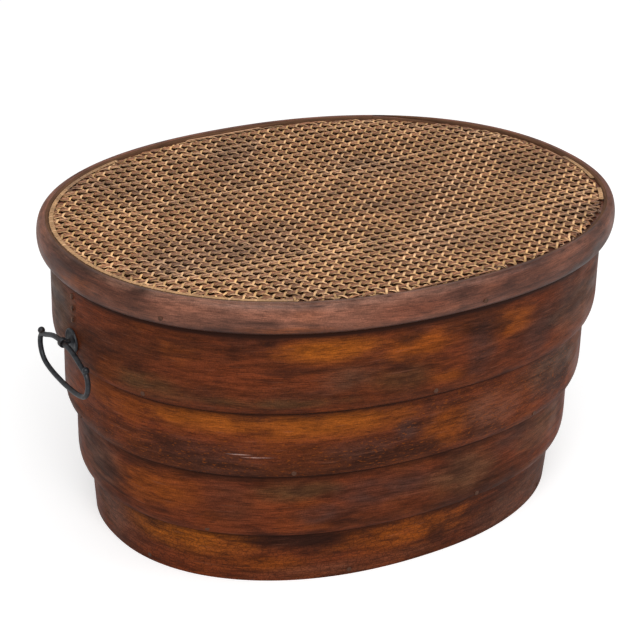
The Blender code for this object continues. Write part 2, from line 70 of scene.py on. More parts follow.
OVAL_POINTS = 1440
BOARD_STEP = 0.004
LAP_LENGTH = 0.080
LAP_TIP_SHARE = 0.14
GLUE_GAP = 0.0003
MERGE = 0.00001
BASE_LAP_SHARE = 0.270
BASE_TAPER = 0.0045
BASE_WALL = 0.010
EDGE_ROUND = 0.0011
SECTION_STEP = 0.0045
BOARD_WAVER = 0.0007

# The tones of old varnished wood, from bare worn patches to soot. The grey tone also paints sheen and
# highlights, and the dark tone also paints shade in creases and under the lid's rim.
BRIGHT = (0.330, 0.086, 0.009, 1)
ORANGE = (0.265, 0.062, 0.007, 1)
RED = (0.158, 0.034, 0.011, 1)
BROWN = (0.085, 0.022, 0.008, 1)
DARK = (0.030, 0.010, 0.006, 1)
GREY_SHEEN = (0.130, 0.068, 0.042, 1)
PINK = (0.210, 0.078, 0.044, 1)
PURPLE = (0.056, 0.026, 0.020, 1)
OLIVE = (0.085, 0.042, 0.017, 1)
DRY = (0.125, 0.056, 0.027, 1)


def add(tree, kind, *feeds, **settings):
    """Adds a node, sets it up and feeds its live inputs in order. Gives its first live output."""
    node = tree.nodes.new(kind)
    for name, value in settings.items():
        setattr(node, name, value)
    live = [socket for socket in node.inputs if socket.enabled]
    for socket, feed in zip(live, feeds):
        if isinstance(feed, bpy.types.NodeSocket):
            tree.links.new(feed, socket)
        elif feed is not None:
            socket.default_value = feed
    return next(socket for socket in node.outputs if socket.enabled)


def calc(tree, operation, *values):
    """One sum of numbers."""
    return add(tree, "ShaderNodeMath", *values, operation=operation)


def vector(tree, operation, *values):
    """One sum of vectors."""
    return add(tree, "ShaderNodeVectorMath", *values, operation=operation)


def beside(socket, name):
    """Another output of the node that this output belongs to."""
    return socket.node.outputs[name]


def between(tree, value, low, high, at_low=0.0, at_high=1.0, smooth=False):
    """Carries a value from one range to another, and holds it at the ends."""
    kind = "SMOOTHSTEP" if smooth else "LINEAR"
    return add(tree, "ShaderNodeMapRange", value, low, high, at_low, at_high, interpolation_type=kind)


def noise(tree, place, stretch, detail=2.0):
    """Cloudy noise over a place that is stretched first."""
    return add(tree, "ShaderNodeTexNoise", vector(tree, "MULTIPLY", place, stretch), 1.0, detail)


def lay(tree, share, below, above):
    """Lays one colour over another by a share."""
    return add(tree, "ShaderNodeMix", share, below, above, data_type="RGBA")


def new_finish(name):
    """A material, with its tree and its shader."""
    made = bpy.data.materials.new(name)
    made.use_nodes = True
    return made, made.node_tree, made.node_tree.nodes["Principled BSDF"]


def new_tree(name, **sockets):
    """A Geometry Nodes tree with these named inputs."""
    tree = bpy.data.node_groups.new(name, "GeometryNodeTree")
    for label, kind in sockets.items():
        tree.interface.new_socket(label, in_out="INPUT", socket_type=f"NodeSocket{kind}")
    tree.interface.new_socket("shape", in_out="OUTPUT", socket_type="NodeSocketGeometry")
    return tree, tree.nodes.new("NodeGroupInput").outputs


def close_tree(tree, shape, finish):
    """Ends a tree with real geometry in one material."""
    real = add(tree, "GeometryNodeRealizeInstances", shape)
    done = add(tree, "GeometryNodeSetMaterial", real, None, finish)
    tree.links.new(done, tree.nodes.new("NodeGroupOutput").inputs[0])


def settle(piece, body, nodes, sharp=35):
    """Shades a finished piece, and hands it to its body in place of its solids."""
    piece.data.shade_smooth()
    piece.data.set_sharp_from_angle(angle=math.radians(sharp))
    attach(piece, body)
    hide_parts(*nodes)
    return piece


def grow(name, tree, **sizes):
    """Runs a tree with these sizes and keeps what it makes as a plain mesh."""
    piece = bpy.data.objects.new(name, bpy.data.meshes.new(name))
    bpy.context.scene.collection.objects.link(piece)
    modifier = piece.modifiers.new(name, "NODES")
    modifier.node_group = tree
    for item in tree.interface.items_tree:
        if item.in_out == "INPUT":
            modifier[item.identifier] = sizes[item.name]
    bpy.context.view_layer.update()
    grown = bpy.data.meshes.new_from_object(piece.evaluated_get(bpy.context.evaluated_depsgraph_get()))
    piece.modifiers.remove(modifier)
    piece.data = grown
    return piece


def oval_place(turn, setback):
    """A point on the oval that lies this far inside the rim's outer line, at a turn in radians."""
    x = (HALF_LENGTH - setback) * math.copysign(abs(math.cos(turn)) ** (2 / OVAL_POWER), math.cos(turn))
    y = (HALF_WIDTH - setback) * math.copysign(abs(math.sin(turn)) ** (2 / OVAL_POWER), math.sin(turn))
    return Vector((x, y, 0))


def oval_path(tree, half_length, half_width, start_share):
    """A closed curve round the oval, counterclockwise from a share of the way round."""
    circle = add(tree, "GeometryNodeCurvePrimitiveCircle", OVAL_POINTS, mode="RADIUS")
    order = beside(add(tree, "GeometryNodeSplineParameter"), "Index")
    turn = calc(tree, "MULTIPLY_ADD", order, 1 / OVAL_POINTS, start_share)
    turn = calc(tree, "MULTIPLY", turn, 2 * math.pi)

    def reach(wave, half):
        share = calc(tree, "POWER", calc(tree, "ABSOLUTE", wave), 2 / OVAL_POWER)
        return calc(tree, "MULTIPLY", calc(tree, "MULTIPLY", share, calc(tree, "SIGN", wave)), half)

    x = reach(calc(tree, "COSINE", turn), half_length)
    y = reach(calc(tree, "SINE", turn), half_width)
    return add(tree, "GeometryNodeSetPosition", circle, None, add(tree, "ShaderNodeCombineXYZ", x, y))


# Each point of a board's section is (share of the wall, depth of the outer face, height).
board_tree, board = new_tree(
    "bent_board", section="Object", half_length="Float", half_width="Float", wall="Float", lean="Float",
    lean_top="Float", start_share="Float", waver="Float", seed="Float", finish="Material",
)
oval = oval_path(board_tree, board["half_length"], board["half_width"], board["start_share"])
girth = add(board_tree, "GeometryNodeCurveLength", oval)
section_points = beside(add(board_tree, "GeometryNodeObjectInfo", board["section"]), "Geometry")
around = add(board_tree, "GeometryNodeAttributeDomainSize", section_points, component="MESH")
rows = calc(board_tree, "ADD", around, 1)
head_steps = round(LAP_LENGTH / BOARD_STEP)
body_steps = calc(board_tree, "CEIL", calc(board_tree, "DIVIDE", girth, BOARD_STEP))
last = calc(board_tree, "ADD", body_steps, head_steps + 3)
sheet = add(board_tree, "GeometryNodeMeshGrid", None, None, calc(board_tree, "ADD", last, 1), rows)
index = add(board_tree, "GeometryNodeInputIndex")
station = calc(board_tree, "FLOOR", calc(board_tree, "DIVIDE", calc(board_tree, "ADD", index, 0.5), rows))
corner = calc(board_tree, "SUBTRACT", index, calc(board_tree, "MULTIPLY", station, rows))
corner = calc(board_tree, "MODULO", calc(board_tree, "ADD", corner, 0.5), around)
place = add(
    board_tree, "GeometryNodeSampleIndex", section_points, add(board_tree, "GeometryNodeInputPosition"),
    calc(board_tree, "FLOOR", corner), data_type="FLOAT_VECTOR",
)
place = add(board_tree, "ShaderNodeSeparateXYZ", place)
share, face, height = place, beside(place, "Y"), beside(place, "Z")
# The first and the last station are doubled, and the outermost ones are drawn together into caps.
step = calc(board_tree, "SUBTRACT", station, 1)
on_head = between(board_tree, step, 0, head_steps, 0, LAP_LENGTH)
past_head = calc(board_tree, "SUBTRACT", girth, GLUE_GAP)
on_body = calc(board_tree, "MULTIPLY", calc(board_tree, "SUBTRACT", step, head_steps + 1), past_head)
on_body = calc(board_tree, "DIVIDE", on_body, body_steps)
on_body = calc(board_tree, "ADD", on_body, LAP_LENGTH + GLUE_GAP)
along = add(
    board_tree, "GeometryNodeSwitch", calc(board_tree, "GREATER_THAN", step, head_steps + 0.5),
    on_head, on_body, input_type="FLOAT",
)
end = calc(board_tree, "ADD", girth, LAP_LENGTH)
along = calc(board_tree, "MINIMUM", along, end)
thin = 1 - LAP_TIP_SHARE
inner_left = between(board_tree, along, 0, LAP_LENGTH, LAP_TIP_SHARE, thin)
inner_left = add(
    board_tree, "GeometryNodeSwitch", calc(board_tree, "GREATER_THAN", along, LAP_LENGTH + GLUE_GAP / 2),
    inner_left, 1.0, input_type="FLOAT",
)
outer_left = between(board_tree, along, girth, end, thin, LAP_TIP_SHARE)
outer_left = add(
    board_tree, "GeometryNodeSwitch", calc(board_tree, "GREATER_THAN", along, girth), 1.0, outer_left,
    input_type="FLOAT",
)
middle_station = calc(board_tree, "DIVIDE", last, 2)
from_middle = calc(board_tree, "ABSOLUTE", calc(board_tree, "SUBTRACT", station, middle_station))
capped = calc(board_tree, "GREATER_THAN", from_middle, calc(board_tree, "SUBTRACT", middle_station, 0.5))
share_here = add(board_tree, "GeometryNodeSwitch", capped, share, 0.5, input_type="FLOAT")
planed = calc(board_tree, "MULTIPLY", calc(board_tree, "SUBTRACT", 1, share_here), inner_left)
planed = calc(board_tree, "MULTIPLY", calc(board_tree, "SUBTRACT", 1, planed), outer_left)
thickness = calc(board_tree, "SUBTRACT", board["wall"], face)
depth = calc(board_tree, "MULTIPLY_ADD", thickness, planed, face)
spot = add(board_tree, "ShaderNodeCombineXYZ", along, height, board["seed"])
swell = calc(board_tree, "MULTIPLY", noise(board_tree, spot, (9.0, 16.0, 1.0), 1.0), board["waver"])
swell = calc(board_tree, "MULTIPLY", swell, calc(board_tree, "SUBTRACT", 1, share_here))
depth = calc(board_tree, "ADD", depth, swell)
lean_left = calc(board_tree, "MAXIMUM", calc(board_tree, "SUBTRACT", board["lean_top"], height), 0)
depth = calc(board_tree, "MULTIPLY_ADD", lean_left, board["lean"], depth)
sampled = add(
    board_tree, "GeometryNodeSampleCurve", oval, None,
    calc(board_tree, "WRAP", calc(board_tree, "SUBTRACT", along, LAP_LENGTH), girth, 0), mode="LENGTH",
)
inward = vector(board_tree, "CROSS_PRODUCT", (0, 0, 1), beside(sampled, "Tangent"))
bent = vector(board_tree, "SCALE", inward, depth)
bent = vector(board_tree, "ADD", bent, beside(sampled, "Position"))
bent = vector(board_tree, "ADD", bent, add(board_tree, "ShaderNodeCombineXYZ", 0, 0, height))
skin = add(board_tree, "GeometryNodeSetPosition", sheet, None, bent)
across = calc(board_tree, "SUBTRACT", height, calc(board_tree, "MULTIPLY", share, board["wall"]))
skin = add(
    board_tree, "GeometryNodeStoreNamedAttribute", skin, None, "grain",
    add(board_tree, "ShaderNodeCombineXYZ", along, across), data_type="FLOAT2", domain="POINT",
)
skin = add(board_tree, "GeometryNodeMergeByDistance", skin, None, MERGE)
close_tree(board_tree, skin, board["finish"])


def section_object(name, outline, face_at, wall):
    """The section of a board as loose points, from (depth, height) pairs that run up the outer face first."""
    points = []
    for depth, height in outline:
        face = face_at(height)
        points.append(((depth - face) / (wall - face), face, height))
    mesh = bpy.data.meshes.new(name)
    mesh.from_pydata(points, [], [])
    return bpy.data.objects.new(name, mesh)


def run(start, stop, step):
    """Evenly spaced values from start to stop, about a step apart."""
    count = max(1, round(abs(stop - start) / step))
    return [start + (stop - start) * number / count for number in range(count + 1)]


def bend_board(name, outline, face_at, outer, wall, lap_share, finish, lean=0.0, lean_top=0.0, body="box",
               waver=BOARD_WAVER):
    """A board with this section, bent round the oval and lapped."""
    section = section_object(f"{name}_section", outline, face_at, wall)
    piece = grow(
        f"{name}_board", board_tree, section=section, half_length=HALF_LENGTH - outer,
        half_width=HALF_WIDTH - outer, wall=wall, lean=lean, lean_top=lean_top, start_share=lap_share,
        waver=waver, seed=lap_share * 40, finish=finish,
    )
    bpy.data.objects.remove(section)
    return settle(piece, body, [name])


def board_outline(low, high, wall, face_at):
    """Up the outer face, over a softened top edge, and down the inner face."""
    heights = run(low, high - EDGE_ROUND, SECTION_STEP)
    top = face_at(high)
    outline = [(face_at(height), height) for height in heights]
    outline.append((top + EDGE_ROUND * 0.3, high - EDGE_ROUND * 0.3))
    outline.append((top + EDGE_ROUND, high))
    outline.append((wall - EDGE_ROUND, high))
    outline.append((wall, high - EDGE_ROUND))
    outline += [(wall, height) for height in run(high - 4 * EDGE_ROUND, low, 4 * SECTION_STEP)]
    return outline


def straight_face(height):
    """A face with no rounding."""
    return 0.0


def varnished_wood(name, seed, low, high, light, shade, spots, flecks=0.0, crackle=0.0, sheen=0.05):
    """Old wood under worn varnish. Each spot is (degrees round, height, half sizes, tone, strength).

    Degrees run from 90 at the back by 180 at the left end, 270 at the front and 360 at the right end.
    """
    made, tree, shader = new_finish(name)
    coords = add(tree, "ShaderNodeTexCoord")
    place = beside(coords, "Object")
    grain = beside(add(tree, "ShaderNodeAttribute", attribute_name="grain"), "Vector")
    grain = vector(tree, "ADD", grain, (0, seed, seed))
    wander = between(tree, noise(tree, grain, (4.0, 6.0, 1.0)), 0, 1, -0.012, 0.012)
    grain = vector(tree, "ADD", grain, add(tree, "ShaderNodeCombineXYZ", 0, wander, 0))
    fine = noise(tree, grain, (90, 900, 1), 3)
    medium = noise(tree, grain, (24, 190, 1), 3)
    broad = noise(tree, grain, (4.5, 24, 1), 2)
    torn = noise(tree, grain, (30, 64, 1), 4)
    # The ground colour runs in long bands, and wear lies over it in spots; some of the spots are painted
    # sheen, highlight and shade instead.
    colour = lay(tree, between(tree, broad, 0.38, 0.62), shade, light)
    tinge = noise(tree, place, (13, 13, 24), 4)
    colour = lay(tree, between(tree, tinge, 0.52, 0.68, 0, 0.35), colour, PURPLE)
    colour = lay(tree, between(tree, tinge, 0.46, 0.30, 0, 0.30), colour, ORANGE)
    split = add(tree, "ShaderNodeSeparateXYZ", place)
    across = calc(tree, "DIVIDE", split, HALF_LENGTH)
    towards = calc(tree, "DIVIDE", beside(split, "Y"), -HALF_WIDTH)
    turn = calc(tree, "MULTIPLY_ADD", calc(tree, "ARCTAN2", across, towards), 180 / math.pi, 270)
    spread = add(tree, "ShaderNodeCombineXYZ", turn, beside(split, "Z"), 0)
    for spot_degrees, height, half_degrees, half_height, tone, strength in spots:
        away = vector(tree, "SUBTRACT", spread, (spot_degrees, height, 0))
        away = vector(tree, "MULTIPLY", away, (1 / half_degrees, 1 / half_height, 0))
        tear = 1.2 if half_height > 0.003 else 0.3
        ragged = calc(tree, "MULTIPLY_ADD", torn, tear, vector(tree, "LENGTH", away))
        share = between(tree, ragged, 0.30 + tear / 2, 1.35 + tear / 2, strength, 0, smooth=True)
        colour = lay(tree, share, colour, tone)
    cloud = calc(tree, "MULTIPLY_ADD", torn, 0.5, noise(tree, place, (12, 12, 26), 4))
    colour = lay(tree, between(tree, cloud, 0.77, 0.92, 0, 0.60), colour, DARK)
    colour = lay(tree, between(tree, cloud, 0.72, 0.58, 0, 0.45), colour, light)
    streak = calc(tree, "ADD", calc(tree, "MULTIPLY", fine, 0.45), calc(tree, "MULTIPLY", medium, 0.55))
    streak = between(tree, streak, 0.38, 0.62, 0.58, 1.36)
    colour = vector(tree, "SCALE", colour, streak)
    speck = between(tree, noise(tree, place, (850, 850, 850), 1), 0.3, 0.7, 0.80, 1.20)
    colour = vector(tree, "SCALE", colour, speck)
    pore = noise(tree, grain, (60, 1000, 1), 1)
    colour = lay(tree, between(tree, pore, 0.60, 0.68, 0, 0.55), colour, DARK)
    vein = noise(tree, grain, (11, 130, 1), 4)
    colour = lay(tree, between(tree, vein, 0.60, 0.70, 0, 0.50), colour, DARK)
    rubbed = noise(tree, grain, (26, 320, 1), 2)
    colour = lay(tree, between(tree, rubbed, 0.64, 0.74, 0, 0.35), colour, PINK)
    fleck = noise(tree, grain, (190, 560, 1), 2)
    colour = lay(tree, between(tree, fleck, 0.60, 0.66, 0, flecks), colour, ORANGE)
    cell = vector(tree, "MULTIPLY", grain, (170, 240, 1))
    cell = add(tree, "ShaderNodeTexVoronoi", cell, 1.0, feature="DISTANCE_TO_EDGE")
    colour = lay(tree, between(tree, cell, 0.02, 0.09, crackle, 0), colour, DARK)
    # Dirt and painted shade darken the creases at a board's upper and lower edge: a sharp dark line and a
    # softer band.
    from_edge = calc(tree, "MINIMUM", calc(tree, "SUBTRACT", beside(split, "Z"), low),
                     calc(tree, "SUBTRACT", high, beside(split, "Z")))
    colour = lay(tree, between(tree, from_edge, 0.0010, 0.0034, 0.92, 0), colour, DARK)
    from_edge = calc(tree, "MULTIPLY_ADD", torn, 0.006, from_edge)
    colour = lay(tree, between(tree, from_edge, 0.003, 0.011, 0.50, 0), colour, DARK)
    # Faces that look inwards were never varnished.
    flat = vector(tree, "MULTIPLY", place, (1, 1, 0))
    inner = vector(tree, "DOT_PRODUCT", beside(coords, "Normal"), flat)
    inner = calc(tree, "LESS_THAN", inner, -0.05)
    colour = lay(tree, inner, colour, vector(tree, "SCALE", DRY[:3], streak))
    tree.links.new(colour, shader.inputs["Base Color"])
    gloss = between(tree, noise(tree, place, (30, 30, 60)), 0.3, 0.7, 0.34, 0.54)
    gloss = calc(tree, "MAXIMUM", gloss, calc(tree, "MULTIPLY", inner, 0.8))
    tree.links.new(gloss, shader.inputs["Roughness"])
    shader.inputs["Specular IOR Level"].default_value = sheen
    rise = calc(tree, "ADD", calc(tree, "MULTIPLY", streak, 0.5), calc(tree, "MULTIPLY", vein, -0.8))
    tree.links.new(add(tree, "ShaderNodeBump", 0.35, 0.0007, None, rise), shader.inputs["Normal"])
    return made


base_low, base_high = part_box("base_hoop")
lower_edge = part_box("lower_hoop")[0].z
base_outer = HALF_LENGTH - base_high.x
base_lean = BASE_TAPER / lower_edge
base_wood = varnished_wood(
    "base_wood", 1.0, -1.0, lower_edge, RED, BROWN, [
        # The grey spots at the left end (180°) and the right end (302°) are painted sheen where the wall
        # turns away.
        (180, 0.035, 14, 0.030, GREY_SHEEN, 0.50),
        (210, 0.047, 20, 0.020, BRIGHT, 0.95),
        (230, 0.022, 10, 0.012, ORANGE, 0.60),
        (238, 0.050, 13, 0.011, DARK, 0.85),
        (245, 0.037, 6, 0.015, DARK, 0.60),
        (267, 0.038, 19, 0.022, ORANGE, 0.90),
        (292, 0.044, 7, 0.018, DARK, 0.60),
        (302, 0.014, 16, 0.026, GREY_SHEEN, 0.40),
        (250, 0.010, 22, 0.010, PINK, 0.35),
    ], crackle=0.45)
bend_board(
    "base_hoop", board_outline(0, base_high.z, BASE_WALL, straight_face), straight_face, base_outer,
    BASE_WALL, BASE_LAP_SHARE, base_wood, lean=base_lean, lean_top=lower_edge)


# The lower, middle and upper hoops
# Each is set over the head of the hoop below, and its lower edge is rounded in to meet that hoop. Hands,
# feet and floors have worn the varnish off each in other places. The grey spots at each end are painted
# sheen, and the dark line under the lid's rim is a painted shadow.
ROUND_HEIGHT = 0.027
ROUND_POWER = 2.6
EDGE_WIDTH = 0.0014
RIM_SHADE = 0.0058
LOWER_SPOTS = [
    # The grey spot at the left end is painted sheen where the wall turns away.
    (182, 0.104, 12, 0.026, GREY_SHEEN, 0.45),
    (203, 0.102, 13, 0.020, ORANGE, 0.65),
    (223, 0.101, 7, 0.026, PURPLE, 0.45),
    (238, 0.115, 10, 0.012, OLIVE, 0.80),
    (242, 0.087, 6, 0.013, PURPLE, 0.80),
    (258, 0.106, 12, 0.022, PURPLE, 0.85),
    (278, 0.099, 10, 0.024, DRY, 0.75),
    (292, 0.118, 7, 0.019, PURPLE, 0.70),
    (306, 0.107, 12, 0.023, DRY, 0.65),
]
MIDDLE_SPOTS = [
    (194, 0.197, 13, 0.020, ORANGE, 0.75),
    (218, 0.200, 14, 0.017, BRIGHT, 0.70),
    (244, 0.195, 17, 0.016, BRIGHT, 0.75),
    (218, 0.161, 15, 0.018, PURPLE, 0.50),
    (251, 0.163, 8, 0.013, PURPLE, 0.60),
    (261, 0.177, 3, 0.012, PURPLE, 0.80),
    (270, 0.170, 6, 0.024, ORANGE, 0.60),
    (282, 0.172, 8, 0.024, PINK, 0.55),
    # The grey spot at the right end is painted sheen where the wall turns away.
    (305, 0.185, 15, 0.028, GREY_SHEEN, 0.55),
    (226, 0.1640, 2.5, 0.0007, (0.45, 0.28, 0.24, 1), 0.90),
    (230, 0.1612, 3, 0.0007, (0.45, 0.28, 0.24, 1), 0.90),
]
UPPER_SPOTS = [
    # The grey spots at the left end (171°) and the right end (308°) are painted sheen, and the small grey
    # spot at 247° is a painted highlight.
    (171, 0.262, 9, 0.050, GREY_SHEEN, 0.90),
    (200, 0.263, 10, 0.022, BROWN, 0.50),
    (206, 0.230, 10, 0.015, OLIVE, 0.75),
    (225, 0.262, 7, 0.022, RED, 0.60),
    # A thin dark band just below the lid's rim is a painted shadow.
    (286, 0.2985, 26, 0.0030, DARK, 0.95),
    (233, 0.226, 16, 0.006, OLIVE, 0.60),
    (244, 0.282, 10, 0.013, BRIGHT, 0.90),
    (232, 0.294, 3, 0.009, DARK, 0.75),
    (238, 0.262, 8, 0.004, DARK, 0.60),
    (247, 0.250, 5, 0.013, GREY_SHEEN, 0.40),
    (261, 0.274, 8, 0.016, ORANGE, 0.80),
    (259, 0.242, 7, 0.013, OLIVE, 0.55),
    (268, 0.234, 4, 0.008, ORANGE, 0.60),
    (276, 0.255, 4, 0.034, PURPLE, 0.75),
    (284, 0.272, 6, 0.018, ORANGE, 0.75),
    (291, 0.247, 6, 0.023, PURPLE, 0.65),
    (308, 0.250, 12, 0.040, GREY_SHEEN, 0.50),
]


def rounded_face(edge, wall):
    """How far a hoop's outer face is set in at a height, with the lower edge rounded in to the next hoop."""
    def face_at(height):
        share = min(1.0, max(0.0, 1 - (height - edge) / ROUND_HEIGHT))
        return (wall - EDGE_WIDTH) * (1 - (1 - share ** ROUND_POWER) ** (1 / ROUND_POWER))
    return face_at


hoops = (
    ("lower_hoop", "base_hoop", 0.205, LOWER_SPOTS, RED, BROWN, 0.0),
    ("middle_hoop", "lower_hoop", 0.330, MIDDLE_SPOTS, RED, BROWN, 0.55),
    ("upper_hoop", "middle_hoop", 0.505, UPPER_SPOTS, RED, BROWN, 0.15),
)
covers = {"lower_hoop": "middle_hoop", "middle_hoop": "upper_hoop", "upper_hoop": "lid_rim"}
for number, (name, below, lap_share, spots, light, shade, flecks) in enumerate(hoops):
    low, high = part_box(name)
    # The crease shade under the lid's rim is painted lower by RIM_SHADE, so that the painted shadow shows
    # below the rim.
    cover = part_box(covers[name])[0].z - (RIM_SHADE if covers[name] == "lid_rim" else 0)
    outer = HALF_LENGTH - high.x
    wall = high.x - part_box(below)[1].x - GLUE_GAP
    face_at = rounded_face(low.z, wall)
    hoop_wood = varnished_wood(
        f"{name}_wood", 2.0 + number, low.z, cover, light, shade, spots, flecks, 0.12)
    outline = board_outline(low.z, high.z, wall, face_at)
    bend_board(name, outline, face_at, outer, wall, lap_share, hoop_wood)


# The bottom boards
# Three boards of dry wood fill the base hoop flush with the floor. Their edges follow its leaning face.
PLANK_STEPS = 64


def oval_reach(y, setback):
    """How far along X the oval that lies this far in reaches, at a place across it."""
    share = min(1.0, abs(y) / (HALF_WIDTH - setback))
    return (HALF_LENGTH - setback) * (1 - share ** OVAL_POWER) ** (1 / OVAL_POWER)


def piece_from(name, shape, finish):
    """A plain mesh object from a bmesh."""
    bmesh.ops.recalc_face_normals(shape, faces=shape.faces)
    mesh = bpy.data.meshes.new(name)
    shape.to_mesh(mesh)
    shape.free()
    piece = bpy.data.objects.new(name, mesh)
    bpy.context.scene.collection.objects.link(piece)
    mesh.materials.append(finish)
    return piece


def dry_wood(name, stretch):
    """Bare wood with its grain drawn out along one axis, greyed by age."""
    made, tree, shader = new_finish(name)
    place = beside(add(tree, "ShaderNodeTexCoord"), "Object")
    streak = between(tree, noise(tree, place, stretch, 4), 0.3, 0.7, 0.40, 0.85)
    stain = between(tree, noise(tree, place, (6, 6, 6)), 0.4, 0.7, 0, 0.5)
    colour = vector(tree, "SCALE", lay(tree, stain, DRY, OLIVE), streak)
    tree.links.new(colour, shader.inputs["Base Color"])
    shader.inputs["Roughness"].default_value = 0.8
    shader.inputs["Specular IOR Level"].default_value = 0.2
    tree.links.new(add(tree, "ShaderNodeBump", 0.3, 0.0006, None, streak), shader.inputs["Normal"])
    return made


plank_wood = dry_wood("plank_wood", (6, 180, 180))
plank_setback = base_outer + BASE_WALL + BASE_TAPER + GLUE_GAP
for name in ("bottom_plank_front", "bottom_plank_middle", "bottom_plank_back"):
    low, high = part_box(name)
    near = max(low.y, plank_setback - HALF_WIDTH)
    far = min(high.y, HALF_WIDTH - plank_setback)
    turns = [math.pi * step / PLANK_STEPS for step in range(PLANK_STEPS + 1)]
    ways = [near + (far - near) * (1 - math.cos(turn)) / 2 for turn in turns]
    right_side = [(oval_reach(y, plank_setback), y) for y in ways]
    outline = right_side + [(-x, y) for x, y in right_side[::-1]]
    shape = bmesh.new()
    shape.faces.new([shape.verts.new((x, y, low.z)) for x, y in outline])
    raised = bmesh.ops.extrude_face_region(shape, geom=list(shape.faces))
    lifted = [item for item in raised["geom"] if isinstance(item, bmesh.types.BMVert)]
    bmesh.ops.translate(shape, vec=(0, 0, high.z - low.z), verts=lifted)
    bmesh.ops.remove_doubles(shape, verts=shape.verts, dist=MERGE)
    settle(piece_from(f"{name}_board", shape, plank_wood), "box", [name])


# The wooden pegs
# Round pegs go through each hoop into the next one inside it, and through the rim into its lip. Each is
# cut off a little proud of the face.
PEG_RADIUS = 0.0025
PEG_PROUD = 0.0010
PEG_SIDES = 20


def turn_at(place):
    """The turn of the oval at the foot of a place near it."""
    along = math.copysign(abs(place.x / HALF_LENGTH) ** (OVAL_POWER / 2), place.x)
    across = math.copysign(abs(place.y / HALF_WIDTH) ** (OVAL_POWER / 2), place.y)
    return math.atan2(across, along)


def outward_at(turn):
    """The level direction straight out of the wall at a turn."""
    along = oval_place(turn + 0.002, 0) - oval_place(turn - 0.002, 0)
    return Vector((along.y, -along.x, 0)).normalized()


def lines_object(name, lines, closed=False, widths=None, tints=None):
    """Lines as a helper mesh of edges. Each point keeps its line's tint and its own share of full width."""
    mesh = bpy.data.meshes.new(name)
    points = [point for line in lines for point in line]
    edges = []
    count = 0
    for line in lines:
        edges += [(count + step, count + step + 1) for step in range(len(line) - 1)]
        if closed:
            edges.append((count + len(line) - 1, count))
        count += len(line)
    mesh.from_pydata(points, edges, [])
    width = mesh.attributes.new("width", "FLOAT", "POINT")
    width.data.foreach_set("value", widths or [1.0] * len(points))
    tint = mesh.attributes.new("tint", "FLOAT", "POINT")
    spread_tints = [tints[order] if tints else 0.5 for order, line in enumerate(lines) for point in line]
    tint.data.foreach_set("value", spread_tints)
    return bpy.data.objects.new(name, mesh)


def round_section(radius, sides):
    """A round section as a closed line."""
    turns = [2 * math.pi * step / sides for step in range(sides)]
    ring = [(radius * math.cos(turn), radius * math.sin(turn), 0) for turn in turns]
    return lines_object("round_section", [ring], closed=True)


# A bar along each line. The width of its section lies along a given direction, or level where it is flat.
bar_tree, bar = new_tree(
    "bars", lines="Object", section="Object", across="Vector", flat="Bool", finish="Material")
bars = beside(add(bar_tree, "GeometryNodeObjectInfo", bar["lines"]), "Geometry")
bars = add(bar_tree, "GeometryNodeMeshToCurve", bars)
bars = add(bar_tree, "GeometryNodeSetCurveNormal", bars, None, bar["across"], mode="FREE")
bars = add(bar_tree, "GeometryNodeSetCurveNormal", bars, bar["flat"], mode="Z_UP")
bar_section = beside(add(bar_tree, "GeometryNodeObjectInfo", bar["section"]), "Geometry")
bar_section = add(bar_tree, "GeometryNodeMeshToCurve", bar_section)
bar_width = add(bar_tree, "GeometryNodeInputNamedAttribute", "width", data_type="FLOAT")
bars = add(bar_tree, "GeometryNodeCurveToMesh", bars, bar_section, bar_width, True)
close_tree(bar_tree, bars, bar["finish"])


def draw_bars(name, lines, section, across, finish, body, nodes):
    """Bars along these lines, in place of these solids. They lie flat where no direction is given."""
    piece = grow(
        name, bar_tree, lines=lines, section=section, across=across or (0, 0, 1), flat=across is None,
        finish=finish)
    bpy.data.objects.remove(lines)
    bpy.data.objects.remove(section)
    return settle(piece, body, nodes)


def plain_wood(name, tone, spread):
    """A small part of dark wood or cane, mottled."""
    made, tree, shader = new_finish(name)
    place = beside(add(tree, "ShaderNodeTexCoord"), "Object")
    mottle = between(tree, noise(tree, place, (400, 400, 400), 3), 0.3, 0.7, 1 - spread, 1 + spread)
    tree.links.new(vector(tree, "SCALE", tone, mottle), shader.inputs["Base Color"])
    shader.inputs["Roughness"].default_value = 0.6
    shader.inputs["Specular IOR Level"].default_value = 0.25
    return made


peg_wood = plain_wood("peg_end_grain", (0.085, 0.034, 0.018), 0.35)
for piece_name, body in (("box_pegs", "box"), ("lid_pegs", "lid")):
    mark = "lid_peg_" if body == "lid" else "_peg_"
    nodes = [name for name in frame["nodes"] if mark in name and (body == "lid") == name.startswith("lid")]
    lines = []
    for name in nodes:
        low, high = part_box(name)
        middle = (low + high) / 2
        out = outward_at(turn_at(middle))
        if abs(out.x) > abs(out.y):
            length = (high.x - low.x - 2 * PEG_RADIUS * abs(out.y)) / abs(out.x)
        else:
            length = (high.y - low.y - 2 * PEG_RADIUS * abs(out.x)) / abs(out.y)
        lines.append([middle - out * length / 2, middle + out * (length / 2 + PEG_PROUD)])
    draw_bars(
        piece_name, lines_object(f"{piece_name}_lines", lines), round_section(PEG_RADIUS, PEG_SIDES),
        (0, 0, 1), peg_wood, body, nodes)


# The lacings
# A thong of split cane runs in and out through a row of holes and ties the outer end of each hoop's lap.
THONG_WIDTH = 0.0026
THONG_THICKNESS = 0.0011
THONG_STEPS = 6
THONG_LIFT_SHARE = 0.9
THONG_BOW_POWER = 0.4
THONG_RADIUS = 0.0010
LACE_PITCH = 0.0068
LACE_SINK = 0.0030


def strip_section(width, thickness):
    """The section of a split cane: flat below and crowned above."""
    half = width / 2
    low = -thickness / 2
    return lines_object("strip_section", [[
        (-half, low, 0), (half, low, 0), (half * 0.8, thickness * 0.2, 0), (0, thickness / 2, 0),
        (-half * 0.8, thickness * 0.2, 0)]], closed=True)


